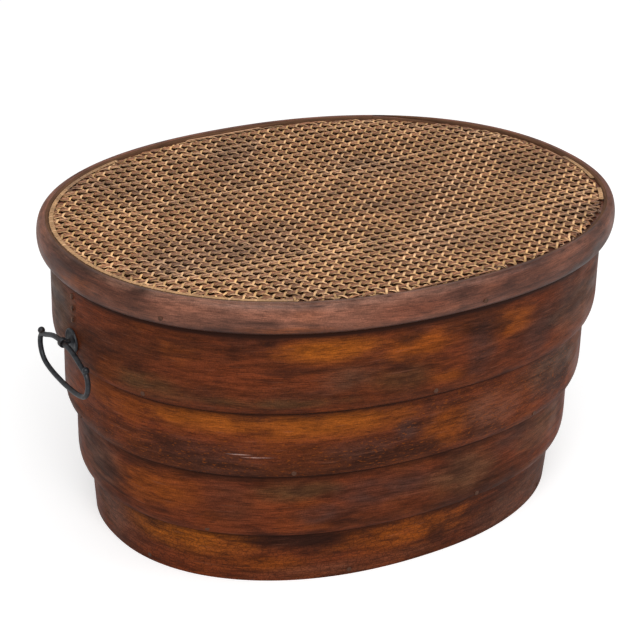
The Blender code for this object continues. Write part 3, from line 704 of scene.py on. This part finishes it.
thong_cane = plain_wood("thong_cane", (0.130, 0.065, 0.040), 0.3)
lacings = (
    ("upper_lacing", "upper_hoop", 0.0), ("middle_lacing", "middle_hoop", 0.0),
    ("lower_lacing", "lower_hoop", 0.0), ("base_lacing", "base_hoop", base_lean),
)
for name, hoop, lean in lacings:
    low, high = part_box(name)
    middle = (low + high) / 2
    turn = turn_at(middle)
    out = outward_at(turn)
    setback = HALF_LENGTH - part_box(hoop)[1].x
    foot = oval_place(turn, setback)
    reach = high.z - low.z - 2 * THONG_RADIUS
    steps = round(reach / LACE_PITCH)
    levels = [low.z + THONG_RADIUS + reach * step / steps for step in range(steps + 1)]
    lines = []
    for start, stop in zip(levels[::2], levels[1::2]):
        stitch = []
        for step in range(THONG_STEPS + 1):
            share = step / THONG_STEPS
            lift = THONG_THICKNESS * THONG_LIFT_SHARE * math.sin(math.pi * share) ** THONG_BOW_POWER
            lift -= LACE_SINK * (share in (0.0, 1.0))
            height = start + (stop - start) * share
            drawn_in = lean * max(0.0, lower_edge - height)
            stitch.append(foot + out * (lift - drawn_in) + Vector((0, 0, height)))
        lines.append(stitch)
    side = Vector((0, 0, 1)).cross(out)
    draw_bars(
        f"{name}_thong", lines_object(f"{name}_lines", lines), strip_section(THONG_WIDTH, THONG_THICKNESS),
        tuple(side), thong_cane, "box", [name])


# The rosettes
# A round iron plate lies under each handle, dished, with a thick rolled edge.
ROSETTE_SIDES = 48
ROSETTE_PROFILE = (
    (1.00, 0.0), (1.00, 0.35), (0.97, 0.55), (0.90, 0.62), (0.82, 0.50), (0.70, 0.38), (0.55, 0.42),
    (0.42, 0.62), (0.32, 0.90), (0.22, 1.00), (0.0, 1.00),
)


def black_iron(name):
    """Forged iron with a worn black skin, brown in its pits."""
    made, tree, shader = new_finish(name)
    place = beside(add(tree, "ShaderNodeTexCoord"), "Object")
    worn = noise(tree, place, (190, 190, 190), 4)
    rust = between(tree, noise(tree, place, (90, 90, 90), 4), 0.55, 0.72, 0, 0.55)
    colour = lay(tree, between(tree, worn, 0.35, 0.70), (0.014, 0.015, 0.018, 1), (0.045, 0.048, 0.055, 1))
    tree.links.new(lay(tree, rust, colour, (0.050, 0.026, 0.016, 1)), shader.inputs["Base Color"])
    tree.links.new(between(tree, worn, 0.3, 0.7, 0.30, 0.52), shader.inputs["Roughness"])
    shader.inputs["Metallic"].default_value = 0.45
    tree.links.new(add(tree, "ShaderNodeBump", 0.4, 0.0006, None, worn), shader.inputs["Normal"])
    return made


iron = black_iron("black_iron")
for side, way in (("left", -1), ("right", 1)):
    low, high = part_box(f"{side}_rosette")
    middle = (low + high) / 2
    radius = (high.z - low.z) / 2
    foot_x = high.x if way < 0 else low.x
    crown = high.x - low.x
    shape = bmesh.new()
    rings = []
    for out_share, rise_share in ROSETTE_PROFILE[:-1]:
        ring = []
        for step in range(ROSETTE_SIDES):
            turn = 2 * math.pi * step / ROSETTE_SIDES
            reach = radius * out_share
            ring.append(shape.verts.new((
                foot_x + way * crown * rise_share,
                reach * math.cos(turn),
                middle.z + reach * math.sin(turn),
            )))
        rings.append(ring)
    for near, far in zip(rings, rings[1:]):
        for step in range(ROSETTE_SIDES):
            after = (step + 1) % ROSETTE_SIDES
            shape.faces.new((near[step], near[after], far[after], far[step]))
    shape.faces.new(rings[0])
    shape.faces.new(rings[-1])
    plate = piece_from(f"{side}_rosette_plate", shape, iron)
    settle(plate, "box", [f"{side}_rosette"], sharp=50)


# The split pins
# An iron strap is bent round each bail into an eye. Its two legs go through the rosette and the wall and
# are spread flat on the inside.
STRAP_THICKNESS = 0.0019
EYE_STEPS = 28
LEG_GAP = 0.0001
LEG_BEND = 0.0014
LEG_NECK = 0.0008


def strap_section(width, thickness):
    """A flat strap with eased corners."""
    half = width / 2
    deep = thickness / 2
    ease = thickness * 0.3
    return lines_object("strap_section", [[
        (-half + ease, -deep, 0), (half - ease, -deep, 0), (half, -deep + ease, 0), (half, deep - ease, 0),
        (half - ease, deep, 0), (-half + ease, deep, 0), (-half, deep - ease, 0), (-half, -deep + ease, 0)]],
        closed=True)


for side, way in (("left", -1), ("right", 1)):
    low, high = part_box(f"{side}_split_pin")
    bail_low, bail_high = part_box(f"{side}_bail")
    eye_x = (bail_low.x + bail_high.x) / 2
    middle_z = (low.z + high.z) / 2
    eye = abs((low.x if way < 0 else high.x) - eye_x) - STRAP_THICKNESS / 2
    inner_x = (high.x - STRAP_THICKNESS / 2) if way < 0 else (low.x + STRAP_THICKNESS / 2)
    leg = STRAP_THICKNESS / 2 + LEG_GAP
    opening = math.asin(leg / eye)
    spread_leg = (high.z - low.z) / 2 - STRAP_THICKNESS / 2
    points = [(inner_x, spread_leg), (inner_x, leg + LEG_BEND), (inner_x + way * LEG_NECK, leg)]
    for step in range(EYE_STEPS + 1):
        turn = math.pi - opening - (2 * math.pi - 2 * opening) * step / EYE_STEPS
        points.append((eye_x + way * eye * math.cos(turn), eye * math.sin(turn)))
    points += [(inner_x + way * LEG_NECK, -leg), (inner_x, -leg - LEG_BEND), (inner_x, -spread_leg)]
    line = [Vector((x, 0, middle_z + z)) for x, z in points]
    draw_bars(
        f"{side}_split_pin_strap", lines_object(f"{side}_pin_line", [line]),
        strap_section(high.y - low.y, STRAP_THICKNESS), (0, 1, 0), iron, "box",
        [f"{side}_split_pin"])


# The bails
# Each handle is one iron bar bent to a dropped loop: a bowed top that turns in the eye, a ball on a short
# neck at each upper corner, and a rounded grip.
BAIL_RADIUS = 0.0027
BAIL_SIDES = 16
BAIL_FINE = 6
BAIL_WIDEST = 1.10
BALL_RADIUS = 0.0038
BALL_STEPS = 12
BAIL_SHARES = (
    (0.00, 0.00), (0.15, 0.00), (0.28, -0.01), (0.45, -0.04), (0.62, -0.10), (0.78, -0.17),
    (0.91, -0.22), (1.02, -0.27), (1.08, -0.37), (1.10, -0.50), (1.075, -0.64), (1.01, -0.77),
    (0.89, -0.87), (0.72, -0.93), (0.50, -0.97), (0.25, -0.99), (0.00, -1.00),
)
BALL_SHARES = (1.02, -0.179)


def smooth_loop(points, fine):
    """A closed line through these points with no corners."""
    count = len(points)
    smoothed = []
    for index in range(count):
        before, start, stop, after = (points[(index + shift) % count] for shift in (-1, 0, 1, 2))
        for step in range(fine):
            t = step / fine
            smoothed.append(0.5 * (
                2 * start + (stop - before) * t + (2 * before - 5 * start + 4 * stop - after) * t * t
                + (3 * start - before - 3 * stop + after) * t * t * t))
    return smoothed


for side, way in (("left", -1), ("right", 1)):
    low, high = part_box(f"{side}_bail")
    span = ((high.y - low.y) / 2 - BAIL_RADIUS) / BAIL_WIDEST
    drop = high.z - low.z - 2 * BAIL_RADIUS
    pivot = Vector(((low.x + high.x) / 2, 0, high.z - BAIL_RADIUS))
    half = [Vector((0, across * span, down * drop)) for across, down in BAIL_SHARES]
    outline = half + [Vector((0, -point.y, point.z)) for point in half[-2:0:-1]]
    loop = [pivot + point for point in smooth_loop(outline, BAIL_FINE)]
    loop_piece = grow(
        f"{side}_bail_loop", bar_tree, lines=lines_object(f"{side}_bail_line", [loop], closed=True),
        section=round_section(BAIL_RADIUS, BAIL_SIDES), across=(1, 0, 0), flat=False, finish=iron)
    settle(loop_piece, f"{side}_bail", [f"{side}_bail"])
    balls = []
    widths = []
    for hand in (-1, 1):
        centre = pivot + Vector((0, hand * BALL_SHARES[0] * span, BALL_SHARES[1] * drop))
        for step in range(BALL_STEPS + 1):
            turn = math.pi * step / BALL_STEPS
            widths.append(max(0.02, math.sin(turn)) * BALL_RADIUS / BAIL_RADIUS)
        line = [centre - Vector((0, 0, math.cos(math.pi * step / BALL_STEPS) * BALL_RADIUS))
                for step in range(BALL_STEPS + 1)]
        balls.append(line)
    ball_piece = grow(
        f"{side}_bail_balls", bar_tree, lines=lines_object(f"{side}_ball_lines", balls, widths=widths),
        section=round_section(BAIL_RADIUS, BAIL_SIDES), across=(1, 0, 0), flat=False, finish=iron)
    settle(ball_piece, f"{side}_bail", [f"{side}_bail"])
helper_names = ("round_section", "left_bail_line", "right_bail_line", "left_ball_lines", "right_ball_lines")
for helper in [item for item in bpy.data.objects if item.name.startswith(helper_names)]:
    bpy.data.objects.remove(helper)


# The lid's rim
# A thick bent hoop with a bullnosed outer edge, scarfed like the others. A rebate for the cane is sunk in
# its top.
RIM_WIDTH = 0.0248
BULLNOSE_INSET = 0.0060
NOSE_STEPS = 16
CREST_FALL = 0.0008
rim_low, rim_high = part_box("lid_rim")
cane_low, cane_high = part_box("cane_panel")
rebate_inset = HALF_LENGTH - cane_high.x - GLUE_GAP
rebate_floor = cane_low.z - GLUE_GAP
rim_middle = (rim_low.z + rim_high.z) / 2
rim_half = (rim_high.z - rim_low.z) / 2


def nose(height):
    """How far the bullnosed face is set in at a height."""
    return BULLNOSE_INSET * (1 - math.sqrt(max(0.0, 1 - ((height - rim_middle) / rim_half) ** 2)))


nose_turns = [math.pi * step / NOSE_STEPS for step in range(NOSE_STEPS + 1)]
nose_heights = [rim_middle - rim_half * math.cos(turn) for turn in nose_turns]
rim_outline = [(nose(height), height) for height in nose_heights]
rim_outline += [
    (rebate_inset - 0.0040, rim_high.z - CREST_FALL * 0.3),
    (rebate_inset - 0.0014, rim_high.z - CREST_FALL),
    (rebate_inset - 0.0004, rim_high.z - 0.0015),
    (rebate_inset, rim_high.z - 0.0024),
    (rebate_inset, rebate_floor),
    (rebate_inset + 0.0035, rebate_floor),
    (RIM_WIDTH, rebate_floor),
    (RIM_WIDTH, rim_middle),
    (RIM_WIDTH, rim_low.z),
    (RIM_WIDTH - 0.0070, rim_low.z),
]
rim_wood = varnished_wood(
    "rim_wood", 6.0, rim_low.z, 1.0, (0.260, 0.098, 0.058, 1), (0.130, 0.045, 0.027, 1), [
        # The broad brown spots at the left end (192°) and the right end (305°) are painted shade, darker ends
        # against the lit middle.
        (192, 0.318, 20, 0.018, BROWN, 0.75),
        (186, 0.318, 8, 0.010, ORANGE, 0.55),
        (236, 0.309, 9, 0.006, ORANGE, 0.60),
        (222, 0.312, 8, 0.008, DARK, 0.45),
        (258, 0.318, 8, 0.010, RED, 0.55),
        (305, 0.315, 28, 0.022, BROWN, 0.75),
        # The three long bands along the top of the rim are painted sheen: grey, pale pink and purple
        # highlights.
        (200, 0.337, 60, 0.004, GREY_SHEEN, 0.50),
        (236, 0.336, 42, 0.007, (0.340, 0.170, 0.120, 1), 0.45),
        (300, 0.337, 30, 0.004, PURPLE, 0.50),
    ], crackle=0.1, sheen=0.22)
bend_board("lid_rim", rim_outline, nose, 0, RIM_WIDTH, 0.155, rim_wood, body="lid")


# The lid's lip
# A thin bent hoop of plain section that hangs below the rim and centres the lid in the box's mouth.
LIP_WALL = 0.006
lip_low, lip_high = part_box("lid_lip")
lip_outline = [(0, height) for height in run(lip_low.z, lip_high.z, SECTION_STEP)]
lip_outline += [(LIP_WALL, height) for height in run(lip_high.z, lip_low.z, SECTION_STEP)]
bend_board(
    "lid_lip", lip_outline, straight_face, HALF_LENGTH - lip_high.x, LIP_WALL, 0.655,
    dry_wood("lip_wood", (20, 20, 300)), body="lid", waver=0.0)


# The cane weave
# Split cane run six ways from hole to hole: two rows, two columns and two slants, each slant over one
# pair and under the other. The gaps that they leave are eight-sided. The whole panel sags with age.
CANE_PITCH = 0.0127
PAIR_SPREAD = 0.00135
PAIR_WIDTH = 0.0023
SLANT_WIDTH = 0.0023
STRAND_THICKNESS = 0.0010
SLANT_RISE = 0.0011
PAIR_LIFT = 0.0003
HOLE_INSET = 0.0028
HOLE_REACH = 0.011
HOLE_DIVE = 0.003
STRAND_STEP = 0.0021
CANE_SAG = 0.006
CANE_SEED = 7
weave_height = cane_low.z + 0.0012
hole_setback = rebate_inset + HOLE_INSET


def evenly_round(setback, spacing):
    """Turns of places spaced evenly round the oval that lies this far in."""
    turns = [2 * math.pi * step / OVAL_POINTS for step in range(OVAL_POINTS + 1)]
    points = [oval_place(turn, setback) for turn in turns]
    runs = [0.0]
    for near, far in zip(points, points[1:]):
        runs.append(runs[-1] + (far - near).length)
    count = round(runs[-1] / spacing)
    found = []
    step = 0
    for number in range(count):
        while runs[step + 1] <= runs[-1] * number / count:
            step += 1
        found.append(turns[step])
    return found


hole_turns = evenly_round(hole_setback, CANE_PITCH)
cane_holes = [oval_place(turn, hole_setback) for turn in hole_turns]


def inside_oval(point, setback):
    """Whether a point lies inside the oval that is set in this far."""
    return (abs(point.x) / (HALF_LENGTH - setback)) ** OVAL_POWER + (
        abs(point.y) / (HALF_WIDTH - setback)) ** OVAL_POWER < 1


def oval_end(start, way):
    """Where a line from inside the row of holes meets it."""
    near, far = 0.0, 2 * HALF_LENGTH
    for halving in range(24):
        middle = (near + far) / 2
        if inside_oval(start + way * middle, hole_setback):
            near = middle
        else:
            far = middle
    return start + way * near


def nearest_hole(place):
    """The drilled hole that lies nearest."""
    return min(cane_holes, key=lambda hole: (hole - place).length)


def strand_lines(way, offsets):
    """Strands along one direction, each a line from a drilled hole to a drilled hole."""
    across = Vector((-way.y, way.x, 0))
    lines = []
    for offset in offsets:
        start = across * offset
        if not inside_oval(start, hole_setback):
            continue
        ends = [oval_end(start, -way), oval_end(start, way)]
        if (ends[1] - ends[0]).length < 2.5 * HOLE_REACH:
            continue
        first, last = ends[0] + way * HOLE_REACH, ends[1] - way * HOLE_REACH
        lines.append([nearest_hole(ends[0]), first, last, nearest_hole(ends[1])])
    return lines


strand_tree, strand = new_tree(
    "cane_strands", lines="Object", section="Object", level="Float", row_rise="Float", column_rise="Float",
    finish="Material",
)
paths = beside(add(strand_tree, "GeometryNodeObjectInfo", strand["lines"]), "Geometry")
paths = add(strand_tree, "GeometryNodeMeshToCurve", paths)
paths = add(strand_tree, "GeometryNodeResampleCurve", paths, None, STRAND_STEP, mode="LENGTH")
spot = add(strand_tree, "ShaderNodeSeparateXYZ", add(strand_tree, "GeometryNodeInputPosition"))
cell = 2 * math.pi / CANE_PITCH
column_wave = calc(strand_tree, "COSINE", calc(strand_tree, "MULTIPLY_ADD", spot, cell, math.pi))
row_wave = calc(strand_tree, "COSINE", calc(strand_tree, "MULTIPLY_ADD", beside(spot, "Y"), cell, math.pi))
rise = calc(strand_tree, "MULTIPLY", row_wave, strand["row_rise"])
rise = calc(strand_tree, "MULTIPLY_ADD", column_wave, strand["column_rise"], rise)
run_along = beside(add(strand_tree, "GeometryNodeSplineParameter"), "Length")
left_over = calc(strand_tree, "SUBTRACT", add(strand_tree, "GeometryNodeSplineLength"), run_along)
from_end = calc(strand_tree, "MINIMUM", run_along, left_over)
rise = calc(strand_tree, "MULTIPLY", rise, between(strand_tree, from_end, 0, HOLE_REACH, smooth=True))
dive = between(strand_tree, from_end, 0, HOLE_DIVE, -HOLE_DIVE, 0, smooth=True)
rise = calc(strand_tree, "ADD", rise, dive)
# The sag is deepest at the middle and dies away at the holes.
out_x = calc(strand_tree, "DIVIDE", spot, HALF_LENGTH)
out_x = calc(strand_tree, "POWER", calc(strand_tree, "ABSOLUTE", out_x), 2)
out_y = calc(strand_tree, "DIVIDE", beside(spot, "Y"), HALF_WIDTH)
out_y = calc(strand_tree, "POWER", calc(strand_tree, "ABSOLUTE", out_y), 2)
sag = between(strand_tree, calc(strand_tree, "ADD", out_x, out_y), 0, 0.88, -CANE_SAG, 0, smooth=True)
rise = calc(strand_tree, "ADD", calc(strand_tree, "ADD", rise, sag), strand["level"])
lifted = add(strand_tree, "ShaderNodeCombineXYZ", None, None, rise)
paths = add(strand_tree, "GeometryNodeSetPosition", paths, None, None, lifted)
paths = add(strand_tree, "GeometryNodeSetCurveNormal", paths, mode="Z_UP")
section = beside(add(strand_tree, "GeometryNodeObjectInfo", strand["section"]), "Geometry")
section = add(strand_tree, "GeometryNodeMeshToCurve", section)
strands = add(strand_tree, "GeometryNodeCurveToMesh", paths, section, None, True)
close_tree(strand_tree, strands, strand["finish"])


def split_cane(name, tone):
    """Old cane of one tone. Each strand has its own tint, and dust and hands have stained it in patches."""
    made, tree, shader = new_finish(name)
    place = beside(add(tree, "ShaderNodeTexCoord"), "Object")
    tint = beside(add(tree, "ShaderNodeAttribute", attribute_name="tint"), "Fac")
    stain = between(tree, noise(tree, place, (9, 9, 9), 3), 0.48, 0.66, 0, 0.55)
    patch = between(tree, noise(tree, place, (60, 60, 60), 3), 0.35, 0.65, 0.78, 1.18)
    mottle = between(tree, noise(tree, place, (420, 420, 420), 2), 0.3, 0.7, 0.80, 1.18)
    colour = lay(tree, stain, (*tone, 1), (0.190, 0.105, 0.070, 1))
    colour = lay(tree, between(tree, tint, 0.72, 1.0, 0, 0.45), colour, (0.620, 0.400, 0.240, 1))
    colour = vector(tree, "SCALE", colour, calc(tree, "MULTIPLY", patch, mottle))
    colour = vector(tree, "SCALE", colour, between(tree, tint, 0, 1, 0.60, 1.34))
    # The steep sides of a strand are darkened: painted shade between the strands, with some dirt.
    facing = beside(add(tree, "ShaderNodeNewGeometry"), "Normal")
    upright = beside(add(tree, "ShaderNodeSeparateXYZ", facing), "Z")
    colour = vector(tree, "SCALE", colour, between(tree, upright, 0.55, 0.97, 0.30, 1.12))
    tree.links.new(colour, shader.inputs["Base Color"])
    shader.inputs["Roughness"].default_value = 0.45
    shader.inputs["Specular IOR Level"].default_value = 0.20
    return made


slant = CANE_PITCH / math.sqrt(2)
cell_count = math.ceil(HALF_LENGTH / CANE_PITCH)
pair_offsets = [
    (number + 0.5) * CANE_PITCH + side * PAIR_SPREAD
    for number in range(-cell_count, cell_count) for side in (-1, 1)
]
slant_offsets = [(number + 0.5) * slant for number in range(-2 * cell_count, 2 * cell_count)]
weave = (
    ("cane_rows", (1, 0, 0), pair_offsets, PAIR_WIDTH, 0, 0, PAIR_LIFT, (0.39, 0.165, 0.080)),
    ("cane_columns", (0, 1, 0), pair_offsets, PAIR_WIDTH, 0, 0, -PAIR_LIFT, (0.35, 0.15, 0.068)),
    ("cane_slants_right", (1, 1, 0), slant_offsets, SLANT_WIDTH, SLANT_RISE, -SLANT_RISE, 0,
     (0.68, 0.40, 0.17)),
    ("cane_slants_left", (-1, 1, 0), slant_offsets, SLANT_WIDTH, -SLANT_RISE, SLANT_RISE, 0,
     (0.60, 0.33, 0.15)),
)
luck = random.Random(CANE_SEED)
for name, way, offsets, width, row_rise, column_rise, lift, tone in weave:
    lines = strand_lines(Vector(way).normalized(), offsets)
    lines = lines_object(f"{name}_lines", lines, tints=[luck.random() for line in lines])
    section = strip_section(width, STRAND_THICKNESS)
    piece = grow(
        name, strand_tree, lines=lines, section=section, level=weave_height + lift, row_rise=row_rise / 2,
        column_rise=column_rise / 2, finish=split_cane(f"{name}_cane", tone))
    bpy.data.objects.remove(lines)
    bpy.data.objects.remove(section)
    settle(piece, "lid", ["cane_panel"], sharp=60)


# The cane binder
# A flat cane covers the row of holes, held down by a loop at every hole. It has broken away along the front
# and right of the lid, where the ends of strands stand up.
BINDER_WIDTH = 0.0045
BINDER_THICKNESS = 0.0012
BINDER_RUNS = ((118, 238), (327, 335), (342, 358))
LOOP_WIDTH = 0.0022
LOOP_THICKNESS = 0.0009
FRAY_RANGE = (240, 326)
FRAY_COUNT = 44
FRAY_SINK = 0.0010
FRAY_WIDTH = 0.0016
FRAY_THICKNESS = 0.0005
binder_low, binder_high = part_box("cane_binder")
binder_setback = HALF_LENGTH - binder_high.x + BINDER_WIDTH / 2
binder_height = binder_high.z - BINDER_THICKNESS
binder_lines = []
for start, stop in BINDER_RUNS:
    turns = [math.radians(degrees) for degrees in run(start, stop, 1.0)]
    binder_lines.append([oval_place(turn, binder_setback) + Vector((0, 0, binder_height)) for turn in turns])
loop_lines = []
for turn in hole_turns:
    degrees = math.degrees(turn)
    if not any(start < degrees < stop for start, stop in BINDER_RUNS):
        continue
    out = outward_at(turn)
    foot = oval_place(turn, binder_setback) + Vector((0, 0, binder_height))
    loop = []
    for step in range(7):
        swing = math.pi * step / 6
        loop.append(foot + out * (BINDER_WIDTH * 0.62 * math.cos(swing)) + Vector((
            0, 0, BINDER_THICKNESS * (1.4 * math.sin(swing) - 1.0))))
    loop_lines.append(loop)
binder_cane = split_cane("binder_cane", (0.50, 0.28, 0.13))
draw_bars(
    "cane_binder_strip", lines_object("binder_lines", binder_lines, tints=[0.45, 0.5, 0.4]),
    strip_section(BINDER_WIDTH, BINDER_THICKNESS), None, binder_cane, "lid", ["cane_binder"])
draw_bars(
    "cane_binder_loops",
    lines_object("loop_lines", loop_lines, tints=[luck.uniform(0.3, 1.0) for line in loop_lines]),
    strip_section(LOOP_WIDTH, LOOP_THICKNESS), None, binder_cane, "lid", ["cane_binder"])
fray_lines = []
for number in range(FRAY_COUNT):
    turn = math.radians(luck.uniform(*FRAY_RANGE))
    out = outward_at(turn)
    sideways = Vector((-out.y, out.x, 0)) * luck.uniform(-1.2, 1.2)
    reach = luck.uniform(0.004, 0.010)
    rise = luck.uniform(0.0004, 0.0024)
    start = oval_place(turn, hole_setback + luck.uniform(-0.001, 0.002))
    start += Vector((0, 0, weave_height - FRAY_SINK))
    way = (out * luck.choice((-1.0, 0.5)) + sideways).normalized()
    fray_lines.append([
        start, start + way * reach * 0.3 + Vector((0, 0, rise * 0.8)),
        start + way * reach * 0.7 + Vector((0, 0, rise)), start + way * reach + Vector((0, 0, rise * 0.4))])
draw_bars(
    "cane_loose_ends",
    lines_object("fray_lines", fray_lines, tints=[luck.random() for line in fray_lines]),
    strip_section(FRAY_WIDTH, FRAY_THICKNESS), None, split_cane("loose_cane", (0.30, 0.17, 0.11)), "lid",
    ["cane_binder"])


# The camera
# Its place, turn and lens come from a fit to the outlines in the photo.
CAMERA_PLACE = Vector((-1.03813022, -1.64435917, 1.10406563))
CAMERA_AZIMUTH = math.radians(-31.99396)
CAMERA_ELEVATION = math.radians(25.09191)
CAMERA_ROLL = math.radians(1.51694)
CAMERA_LENS = 110.4956
view_back = Vector((
    math.sin(CAMERA_AZIMUTH) * math.cos(CAMERA_ELEVATION),
    -math.cos(CAMERA_AZIMUTH) * math.cos(CAMERA_ELEVATION),
    math.sin(CAMERA_ELEVATION),
))
level_right = Vector((math.cos(CAMERA_AZIMUTH), math.sin(CAMERA_AZIMUTH), 0))
level_up = view_back.cross(level_right)
view_right = level_right * math.cos(CAMERA_ROLL) + level_up * math.sin(CAMERA_ROLL)
view_up = level_up * math.cos(CAMERA_ROLL) - level_right * math.sin(CAMERA_ROLL)
camera = bpy.data.objects.new("camera", bpy.data.cameras.new("camera"))
camera.data.lens = CAMERA_LENS
turned = Matrix((view_right, view_up, view_back)).transposed().to_4x4()
camera.matrix_world = Matrix.Translation(CAMERA_PLACE) @ turned
bpy.context.scene.collection.objects.link(camera)
bpy.context.scene.camera = camera


# The floor
# A plain white floor that takes the box's shadow. To the camera it is lifted to paper white.
FLOOR_HALF = 6.0
FLOOR_LIFT = 0.42
floor_mesh = bpy.data.meshes.new("floor")
floor_corners = [(-1, -1), (1, -1), (1, 1), (-1, 1)]
floor_mesh.from_pydata([(x * FLOOR_HALF, y * FLOOR_HALF, 0) for x, y in floor_corners], [], [(0, 1, 2, 3)])
floor = bpy.data.objects.new("floor", floor_mesh)
bpy.context.scene.collection.objects.link(floor)
floor_finish, floor_tree, floor_shader = new_finish("floor_white")
floor_tree.nodes.remove(floor_shader)
rays = add(floor_tree, "ShaderNodeLightPath")
glow = calc(floor_tree, "MULTIPLY", beside(rays, "Is Camera Ray"), FLOOR_LIFT)
floor_glow = add(floor_tree, "ShaderNodeEmission", (1, 1, 1, 1), glow)
floor_matt = add(floor_tree, "ShaderNodeBsdfDiffuse", (0.90, 0.90, 0.90, 1))
floor_both = add(floor_tree, "ShaderNodeAddShader", floor_matt, floor_glow)
floor_tree.links.new(floor_both, floor_tree.nodes["Material Output"].inputs["Surface"])
floor_mesh.materials.append(floor_finish)


# The light
# White surroundings for even light, a broad lamp from the front left and a weaker one from the right.
AMBIENT = 0.55
world = bpy.data.worlds.new("studio")
bpy.context.scene.world = world
world.use_nodes = True
sky = world.node_tree
background = sky.nodes["Background"]
background.inputs["Color"].default_value = (1, 1, 1, 1)
sky_rays = add(sky, "ShaderNodeLightPath")
strength = between(sky, beside(sky_rays, "Is Camera Ray"), 0, 1, AMBIENT, 1.0)
sky.links.new(strength, background.inputs["Strength"])


def lamp(name, place, size, power):
    """A square lamp that faces the box."""
    light = bpy.data.lights.new(name, "AREA")
    light.size = size
    light.energy = power
    made = bpy.data.objects.new(name, light)
    made.location = place
    made.rotation_euler = (-Vector(place)).to_track_quat("-Z", "Y").to_euler()
    bpy.context.scene.collection.objects.link(made)


lamp("key_lamp", (-1.2, -1.8, 2.4), 1.6, 40)
lamp("fill_lamp", (1.8, -1.6, 1.6), 1.6, 14)
bpy.context.scene.view_settings.view_transform = "Standard"
